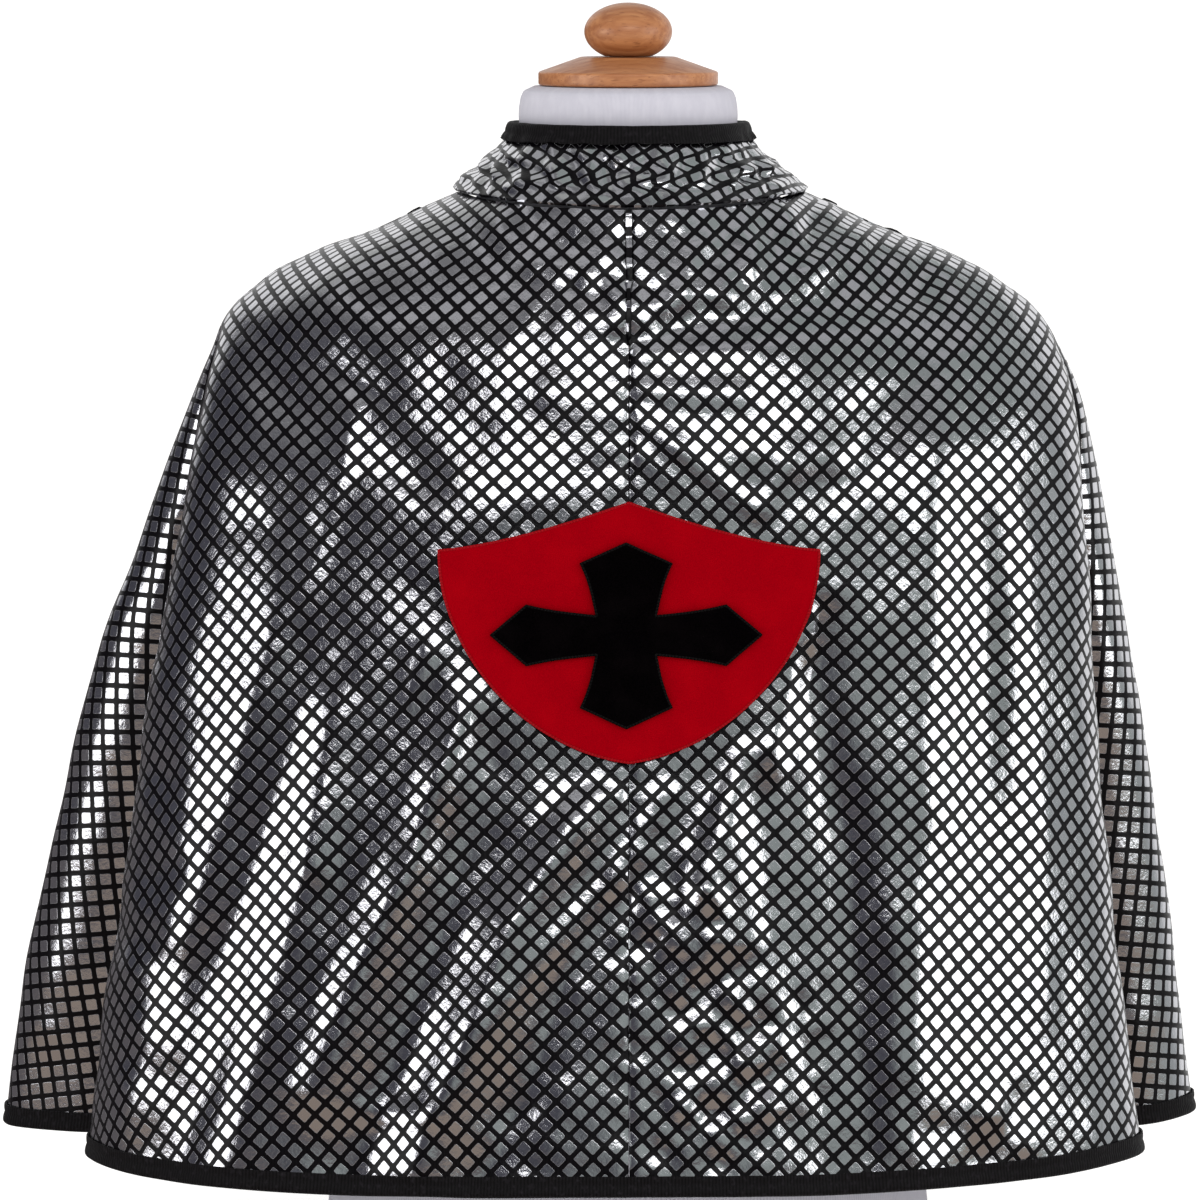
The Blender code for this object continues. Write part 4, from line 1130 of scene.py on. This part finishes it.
class CAPE_OT_bindings(bpy.types.Operator):
    """Make the knit strips over the hem, the front edges and the collar's top"""

    bl_idname = "cape.bindings"
    bl_label = "Bindings"

    def execute(self, context):
        settings = context.scene.cape
        knit = knit_binding()
        panels = {}
        for side in (LEFT, RIGHT):
            for front in (False, True):
                panels[side, front] = panel_points(side, front, settings.step)
        rows = panels[LEFT, True]
        for key in ((LEFT, False), (RIGHT, False), (RIGHT, True)):
            rows = np.concatenate([rows[:, :-HEM_SKIP], panels[key][:, HEM_SKIP:]], axis=1)
        edge, over = rows[-1].copy(), unit(rows[-1] - rows[-1 - HEM_ROWS])
        past = BINDING_EASE + settings.binding
        edge[0] += unit(edge[0] - edge[1]) * past
        edge[-1] += unit(edge[-1] - edge[-2]) * past
        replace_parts(band("hem_strip", edge, over, 1, settings, knit), "hem_binding")
        for side, side_name in ((LEFT, "left"), (RIGHT, "right")):
            points = panels[side, True][:, ::-side]
            edge, inside = points[:, 0], points[:, FRONT_COLUMNS]
            keep = edge[:, 2] > edge[-1, 2] + BINDING_HEIGHT
            over = unit(edge - inside)
            piece = band(f"front_strip_{side_name}", edge[keep], over[keep], -side, settings, knit)
            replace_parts(piece, "front_binding_" + side_name)
        points = collar_points()
        over = unit(points[0] - points[COLLAR_EDGE_ROWS])
        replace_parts(band("collar_strip", points[0], over, -1, settings, knit), "collar_binding")
        return {"FINISHED"}


def back_depth(step):
    """How far back the calm cloth lies at a place across and a height, read between rows of the panels."""
    left, right = panel_points(LEFT, False, step), panel_points(RIGHT, False, step)
    joined = np.concatenate([left[:, :-GROUND_SKIP], right[:, GROUND_SKIP:]], axis=1)
    at = np.linspace(*DEPTH_ACROSS, DEPTH_PLACES)
    row_z = np.stack([np.interp(at, row[:, 0], row[:, 2]) for row in joined])
    row_y = np.stack([np.interp(at, row[:, 0], row[:, 1]) for row in joined])
    heights = np.linspace(*DEPTH_HEIGHTS, DEPTH_PLACES)
    table = np.stack([np.interp(heights, z[::-1], y[::-1]) for z, y in zip(row_z.T, row_y.T)])

    def depth(x, z):
        """Between the four nearest places of the table."""
        i = np.clip((x - at[0]) / (at[1] - at[0]), 0, len(at) - 1.001)
        j = np.clip((z - heights[0]) / (heights[1] - heights[0]), 0, len(heights) - 1.001)
        a, b = i.astype(int), j.astype(int)
        s, t = i - a, j - b
        low = table[a, b] * (1 - s) + table[a + 1, b] * s
        return low * (1 - t) + (table[a, b + 1] * (1 - s) + table[a + 1, b + 1] * s) * t

    return depth


def raised(flat, depth, out):
    """Places on the back at flat (x, z) points, moved out of the cloth along its normal."""
    x, z = flat[..., 0], flat[..., 1]
    step = 0.004
    slope_x = (depth(x + step, z) - depth(x - step, z)) / (2 * step)
    slope_z = (depth(x, z + step) - depth(x, z - step)) / (2 * step)
    normal = unit(np.stack([slope_x, -np.ones_like(x), slope_z], axis=-1))
    return np.stack([x, depth(x, z), z], axis=-1) + normal * np.asarray(out)[..., None]


def even_outline(outline, step):
    """A closed outline with points at even steps, and its own corners kept."""
    closed = np.concatenate([outline, outline[:1]])
    places = lengths_along(closed, 0)
    counts = np.maximum(1, np.round(np.diff(places) / step).astype(int))
    stretches = zip(places, places[1:], counts)
    at = np.concatenate([np.linspace(a, b, n, endpoint=False) for a, b, n in stretches])
    return np.stack([np.interp(at, places, closed[:, k]) for k in (0, 1)], axis=-1)


def patch(name, outline, centre, depth, out, thickness, material):
    """A felt patch: its outline scaled about its centre in rings, rounded at the edge, plain underneath."""
    centre = np.array(centre)
    shares = np.concatenate([np.linspace(PATCH_FIRST, PATCH_LAST, PATCH_RINGS), PATCH_EDGE[:, 0]])
    heights = np.concatenate([np.ones(PATCH_RINGS), PATCH_EDGE[:, 1]]) * thickness + out
    flat = centre + (outline - centre) * shares[:, None, None]
    top = raised(flat, depth, np.broadcast_to(heights[:, None], flat.shape[:2]))
    sides = len(outline)
    faces = grid_faces(len(shares), sides, close_columns=True).tolist()
    middle = raised(centre[None], depth, np.array([out + thickness]))
    under = raised(centre[None], depth, np.array([out]))
    points = np.concatenate([top.reshape(-1, 3), middle, under])
    return add_piece(name, points, faces + closing_fans(len(shares) * sides, sides), material, 60)


def shield_outline():
    """The shield's edge, counter-clockwise from its left corner by the tip to the right corner and back."""
    across = np.sin(np.linspace(-math.pi / 2, math.pi / 2, SHIELD_POINTS))
    low, high = shield_edge(across)
    x = SHIELD_HALF_WIDTH * np.concatenate([across, across[-2:0:-1]])
    z = SHIELD_TIP_Z + np.concatenate([low, high[-2:0:-1]])
    return np.stack([x, z], axis=-1)


def cross_arm(arm, next_waist):
    """Half of an arm that points along +x, from the hollow between two arms to its tip."""
    length, flare_at, flare, waist = arm
    t = np.linspace(0, 1, CROSS_POINTS)
    x = next_waist + (flare_at - next_waist) * t
    y = waist + (flare - waist) * ((1 - CROSS_HOLLOW) * t + CROSS_HOLLOW * t * t * t)
    return np.stack([np.append(x, length), np.append(y, 0)], axis=-1)


def cross_outline():
    """The cross, counter-clockwise from its right tip: the two halves of each arm in turn."""
    level = cross_arm(CROSS_LEVEL_ARM, CROSS_UPRIGHT_ARM[CROSS_ARM_NAMES.index("waist")])
    upright = cross_arm(CROSS_UPRIGHT_ARM, CROSS_LEVEL_ARM[CROSS_ARM_NAMES.index("waist")])[:, ::-1]
    quarter = np.concatenate([level[:0:-1], upright])
    top = np.concatenate([quarter, quarter[-2::-1] * (-1, 1)])
    whole = np.concatenate([top, top[-2:0:-1] * (1, -1)])
    return whole + CROSS_CENTRE


def stitched_rim(name, outline, depth, out, material):
    """Satin stitches over a patch's edge: a half-round cord along the outline, notched at each stitch."""
    turn = np.linspace(0, 2 * math.pi, RIM_SIDES, endpoint=False)
    after, before = np.roll(outline, -1, axis=0), np.roll(outline, 1, axis=0)
    along = unit(after - before)
    aside = np.stack([along[:, 1], -along[:, 0]], axis=-1)
    places = lengths_along(np.concatenate([outline, outline[:1]]), 0)[:-1]
    notch = 1 - RIM_NOTCH * np.cos(2 * math.pi * places / STITCH_LENGTH) ** 2
    reach = 0.5 * RIM_WIDTH * np.cos(turn)[None, :] * notch[:, None] - 0.25 * RIM_WIDTH
    flat = outline[:, None] + aside[:, None] * reach[..., None]
    heights = out + RIM_HEIGHT * np.sin(turn)[None, :] * notch[:, None]
    points = raised(flat, depth, heights)
    count, sides = points.shape[:2]
    index = np.arange(count * sides).reshape(count, sides)
    right, up = np.roll(index, -1, axis=0), np.roll(index, -1, axis=1)
    faces = np.stack([index, right, np.roll(up, -1, axis=0), up], axis=-1).reshape(-1, 4)
    piece = add_piece(name, points, faces.tolist(), material, 70)
    add_uv(piece, even_grid(turn * 0.5 * RIM_WIDTH, places)[..., ::-1])
    return piece


class CAPE_OT_appliques(bpy.types.Operator):
    """Make the felt shield and cross, and the stitched edge of each"""

    bl_idname = "cape.appliques"
    bl_label = "Appliques"

    def execute(self, context):
        settings = context.scene.cape
        depth = back_depth(settings.step)
        red = felt("red_wool_felt", settings.red, "7d000a", "93020c")
        black = felt("black_wool_felt", settings.black, "010101", "090607")
        red_thread = thread("red_rayon_thread", settings.rim, "7c0008")
        black_thread = thread("black_rayon_thread", "0b090a", "030303")
        middle = (0, SHIELD_TIP_Z + SHIELD_MIDDLE * SHIELD_CORNER_HEIGHT)
        on_shield = 2 * APPLIQUE_EASE + settings.felt
        for name, outline, centre, out, rim_share, slot, cloth, sewing in (
            ("shield", shield_outline(), middle, APPLIQUE_EASE, 0.75, "red_felt", red, red_thread),
            ("cross", cross_outline(), CROSS_CENTRE, on_shield, 0.7, "black_felt", black, black_thread),
        ):
            edge = even_outline(outline, FELT_STEP)
            dress(patch(name + "_felt", edge, centre, depth, out, settings.felt, cloth), slot, name)
            edge = even_outline(outline, STITCH_LENGTH / 4)
            rim = stitched_rim(name + "_stitching", edge, depth, out + rim_share * settings.felt, sewing)
            dress(rim, slot)
        return {"FINISHED"}


class CAPE_OT_form(bpy.types.Operator):
    """Make the dress form's jersey-covered torso and neck"""

    bl_idname = "cape.form"
    bl_label = "Dress form"

    def execute(self, context):
        heights = column(FORM, FORM_NAMES, "z")
        along = lengths_along(np.stack([column(FORM, FORM_NAMES, "half_width"), heights], axis=-1), 0)
        fine = np.sort(np.concatenate([np.linspace(0, along[-1], FORM_ROWS), along]))
        fine = fine[np.concatenate([[True], np.diff(fine) > 1e-5])]
        size = {name: eased(fine, along, column(FORM, FORM_NAMES, name))[:, None] for name in FORM_NAMES}
        angle = np.linspace(0, 2 * math.pi, FORM_COLUMNS, endpoint=False)[None, ::-1]
        # Each section is a rounded square: cosine and sine to the power of two over its squareness
        bend = 2 / size["squareness"]
        x = size["half_width"] * np.sign(np.cos(angle)) * np.abs(np.cos(angle)) ** bend
        depth = np.where(np.sin(angle) < 0, size["back"], size["front"])
        y = depth * np.sign(np.sin(angle)) * np.abs(np.sin(angle)) ** bend
        points = np.stack([x, y, np.broadcast_to(size["z"], x.shape)], axis=-1)
        count, sides = points.shape[:2]
        faces = grid_faces(count, sides, close_columns=True).tolist()
        total = count * sides
        ends = [list(range(sides)), list(range(total - sides, total))[::-1]]
        piece = add_piece("form_jersey", points, [*faces, *ends], jersey(context.scene.cape_form), 60)
        add_uv(piece, even_grid(np.linspace(0, FORM_GIRTH, sides), fine))
        dress(piece, "white_jersey", "form_torso")
        return {"FINISHED"}


def turned_piece(name, profile, material):
    """A turned solid: a half profile of (radius, height) points, top to bottom, carried round +Z."""
    profile = np.array(profile)
    angle = np.linspace(0, 2 * math.pi, TURNED_SIDES, endpoint=False)
    ring = np.stack([np.cos(angle), np.sin(angle)], axis=-1)
    inner = profile[1:-1]
    points = np.concatenate([(inner[:, None, :1] * ring).reshape(-1, 2), np.zeros((2, 2))])
    heights = np.concatenate([np.repeat(inner[:, 1], TURNED_SIDES), profile[[0, -1], 1]])
    faces = grid_faces(len(inner), TURNED_SIDES, close_columns=True).tolist()
    faces += closing_fans(len(inner) * TURNED_SIDES, TURNED_SIDES)
    return add_piece(name, np.column_stack([points, heights]), faces, material, 35)


def edge_arc(centre, start, end):
    """Points of the arc that rounds an edge of the cap, between two angles in degrees."""
    angle = np.radians(np.linspace(start, end, ARC_POINTS))
    return np.array(centre) + CAP_EDGE * np.stack([np.cos(angle), np.sin(angle)], axis=-1)


class CAPE_OT_turned_wood(bpy.types.Operator):
    """Make the neck cap and the ball finial of turned beech"""

    bl_idname = "cape.turned_wood"
    bl_label = "Turned wood"

    def execute(self, context):
        settings = context.scene.cape_form
        wood = beech(settings)
        (_, _, low), (_, _, top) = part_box("neck_cap")
        radius, wall_top, flat = settings.cap_radius, low + CAP_WALL, CAP_FLAT_RADIUS
        slope = math.degrees(math.atan2(radius - flat, top - wall_top))
        cap = np.concatenate([
            [(0, top), (flat * 0.5, top), (flat - CAP_SOFT_IN, top)],
            [(flat + CAP_SOFT_OUT, top - CAP_SOFT_DROP)],
            edge_arc((radius - CAP_EDGE, wall_top), slope, 0),
            edge_arc((radius - CAP_EDGE, low + CAP_EDGE), 0, -90),
            [(radius * 0.5, low), (0, low)],
        ])
        dress(turned_piece("neck_cap_wood", cap, wood), "beech", "neck_cap")
        (_, _, low), (_, _, top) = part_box("finial")
        foot = math.acos(-math.sqrt(1 - (FINIAL_FOOT / settings.finial_radius) ** 2))
        half_height = (top - low) / (1 - math.cos(foot))
        angles = np.linspace(0, foot, FINIAL_POINTS)
        radii, heights = settings.finial_radius * np.sin(angles), top - half_height * (1 - np.cos(angles))
        ball = np.concatenate([np.stack([radii, heights], axis=-1), [(0, low)]])
        dress(turned_piece("finial_wood", ball, wood), "beech", "finial")
        return {"FINISHED"}


# Stage


def add_softbox(name, bearing, height, distance, wide, high, brightness):
    """A rectangular area light that faces the cape."""
    light = bpy.data.lights.new(name, "AREA")
    light.shape = "RECTANGLE"
    light.size, light.size_y = wide, high
    light.energy = brightness * math.pi * wide * high
    lamp = bpy.data.objects.new(name, light)
    turn, rise = math.radians(bearing), math.radians(height)
    away = Vector((math.sin(turn) * math.cos(rise), -math.cos(turn) * math.cos(rise), math.sin(rise)))
    lamp.location = Vector(LIT_POINT) + away * distance
    lamp.rotation_euler = (-away).to_track_quat("-Z", "Y").to_euler()
    bpy.context.scene.collection.objects.link(lamp)


def studio_surroundings(tree):
    """Even white light, and for reflections a room of soft zones.

    By bearing: a slate wall on the left, a pale then a grey one on the right, and a white backdrop behind.
    By height: a dark skirting, a warm floor, and a ceiling with a skylight.
    """
    toward = node(tree, "SeparateXYZ", node(tree, "TexCoord", output="Generated"), output=None)
    height = toward["Z"]
    away = node(tree, "Math", toward["Y"], -1.0, operation="MULTIPLY")
    bearing = node(tree, "Math", toward["X"], away, operation="ARCTAN2")
    side = node(tree, "Math", bearing, operation="ABSOLUTE")
    soft = {"interpolation_type": "SMOOTHSTEP"}
    near = node(tree, "MapRange", bearing, *SKIRTING_BEARING)
    low = node(tree, "MapRange", height, *SKIRTING_HEIGHT, **soft)
    low = node(tree, "Math", low, near, operation="MULTIPLY")
    behind = node(tree, "MapRange", side, *FLOOR_SIDE)
    under = node(tree, "MapRange", height, *FLOOR_HEIGHT, **soft)
    under = node(tree, "Math", under, behind, operation="MULTIPLY")
    below = node(tree, "MapRange", height, *SKYLIGHT_HIGH)
    lit = node(tree, "MapRange", height, *SKYLIGHT_LOW)
    lit = node(tree, "Math", lit, below, operation="MULTIPLY")
    above, room = CEILING, SLATE_WALL
    for amount, colour in (
        (node(tree, "MapRange", side, *HIGH_WALL_SIDE, **soft), HIGH_WALL),
        (node(tree, "MapRange", bearing, *HIGH_PALE_BEARING, **soft), PALE_WALL),
        (lit, SKYLIGHT),
    ):
        above = node(tree, "Mix", amount, above, colour, data_type="RGBA")
    zones = [(node(tree, "MapRange", bearing, *ends, **soft), colour) for *ends, colour in WALLS]
    ceiling = node(tree, "MapRange", height, *CEILING_HEIGHT, **soft)
    for amount, colour in (*zones, (low, SKIRTING), (under, WARM_FLOOR), (ceiling, above)):
        room = node(tree, "Mix", amount, room, colour, data_type="RGBA")
    mirrored = node(tree, "LightPath", output="Is Glossy Ray")
    glow = node(tree, "Mix", mirrored, EVEN_LIGHT, room, data_type="RGBA")
    plug(tree, tree.nodes["Background"].inputs["Color"], glow)


class CAPE_OT_stage(bpy.types.Operator):
    """Make the floor, the lights, the studio's surroundings and the camera"""

    bl_idname = "cape.stage"
    bl_label = "Stage"

    def execute(self, context):
        settings = context.scene.cape_stage
        scene = context.scene
        mesh = bpy.data.meshes.new("floor")
        corners = [(x * FLOOR_HALF, y * FLOOR_HALF, 0) for x, y in ((-1, -1), (1, -1), (1, 1), (-1, 1))]
        mesh.from_pydata(corners, [], [(0, 1, 2, 3)])
        floor = bpy.data.objects.new("floor", mesh)
        scene.collection.objects.link(floor)
        material, tree, shader = new_material("pale_seamless_floor")
        wire(tree, shader, {
            "Base Color": linear(settings.floor),
            "Roughness": 0.9,
            "Specular IOR Level": 0.1,
            "Emission Color": (1, 1, 1, 1),
            "Emission Strength": 0.4,
        })
        mesh.materials.append(material)
        floor.visible_glossy = False
        for name, *light in SOFTBOXES:
            add_softbox(name, *light)
        world = bpy.data.worlds.new("studio")
        scene.world = world
        world.use_nodes = True
        studio_surroundings(world.node_tree)
        camera = bpy.data.cameras.new("camera")
        camera.lens, camera.sensor_width, camera.clip_end = settings.lens, SENSOR_WIDTH, CLIP_END
        view = bpy.data.objects.new("camera", camera)
        view.location = settings.camera_place
        aim = Vector(settings.camera_target) - Vector(settings.camera_place)
        view.rotation_euler = aim.to_track_quat("-Z", "Y").to_euler()
        scene.collection.objects.link(view)
        scene.camera = view
        scene.view_settings.view_transform = "Standard"
        return {"FINISHED"}


class CAPE_PT_sidebar(bpy.types.Panel):
    """Lists the makers of the cape's pieces"""

    bl_idname = "CAPE_PT_sidebar"
    bl_label = "Reversible Cape"
    bl_space_type = "VIEW_3D"
    bl_region_type = "UI"
    bl_category = "Cape"

    def draw(self, context):
        for maker in MAKERS:
            self.layout.operator(maker.bl_idname)


MAKERS = (
    CAPE_OT_panels,
    CAPE_OT_collar,
    CAPE_OT_bindings,
    CAPE_OT_appliques,
    CAPE_OT_form,
    CAPE_OT_turned_wood,
    CAPE_OT_stage,
)
CLASSES = (CapeSettings, FormSettings, StageSettings, *MAKERS, CAPE_PT_sidebar)


def register():
    for cls in CLASSES:
        bpy.utils.register_class(cls)
    bpy.types.Scene.cape = PointerProperty(type=CapeSettings)
    bpy.types.Scene.cape_form = PointerProperty(type=FormSettings)
    bpy.types.Scene.cape_stage = PointerProperty(type=StageSettings)


def unregister():
    del bpy.types.Scene.cape_stage
    del bpy.types.Scene.cape_form
    del bpy.types.Scene.cape
    for cls in reversed(CLASSES):
        bpy.utils.unregister_class(cls)


def main():
    register()
    bpy.ops.cape.panels()
    bpy.ops.cape.collar()
    bpy.ops.cape.bindings()
    bpy.ops.cape.appliques()
    bpy.ops.cape.form()
    bpy.ops.cape.turned_wood()
    bpy.ops.cape.stage()


if __name__ == "__main__":
    main()
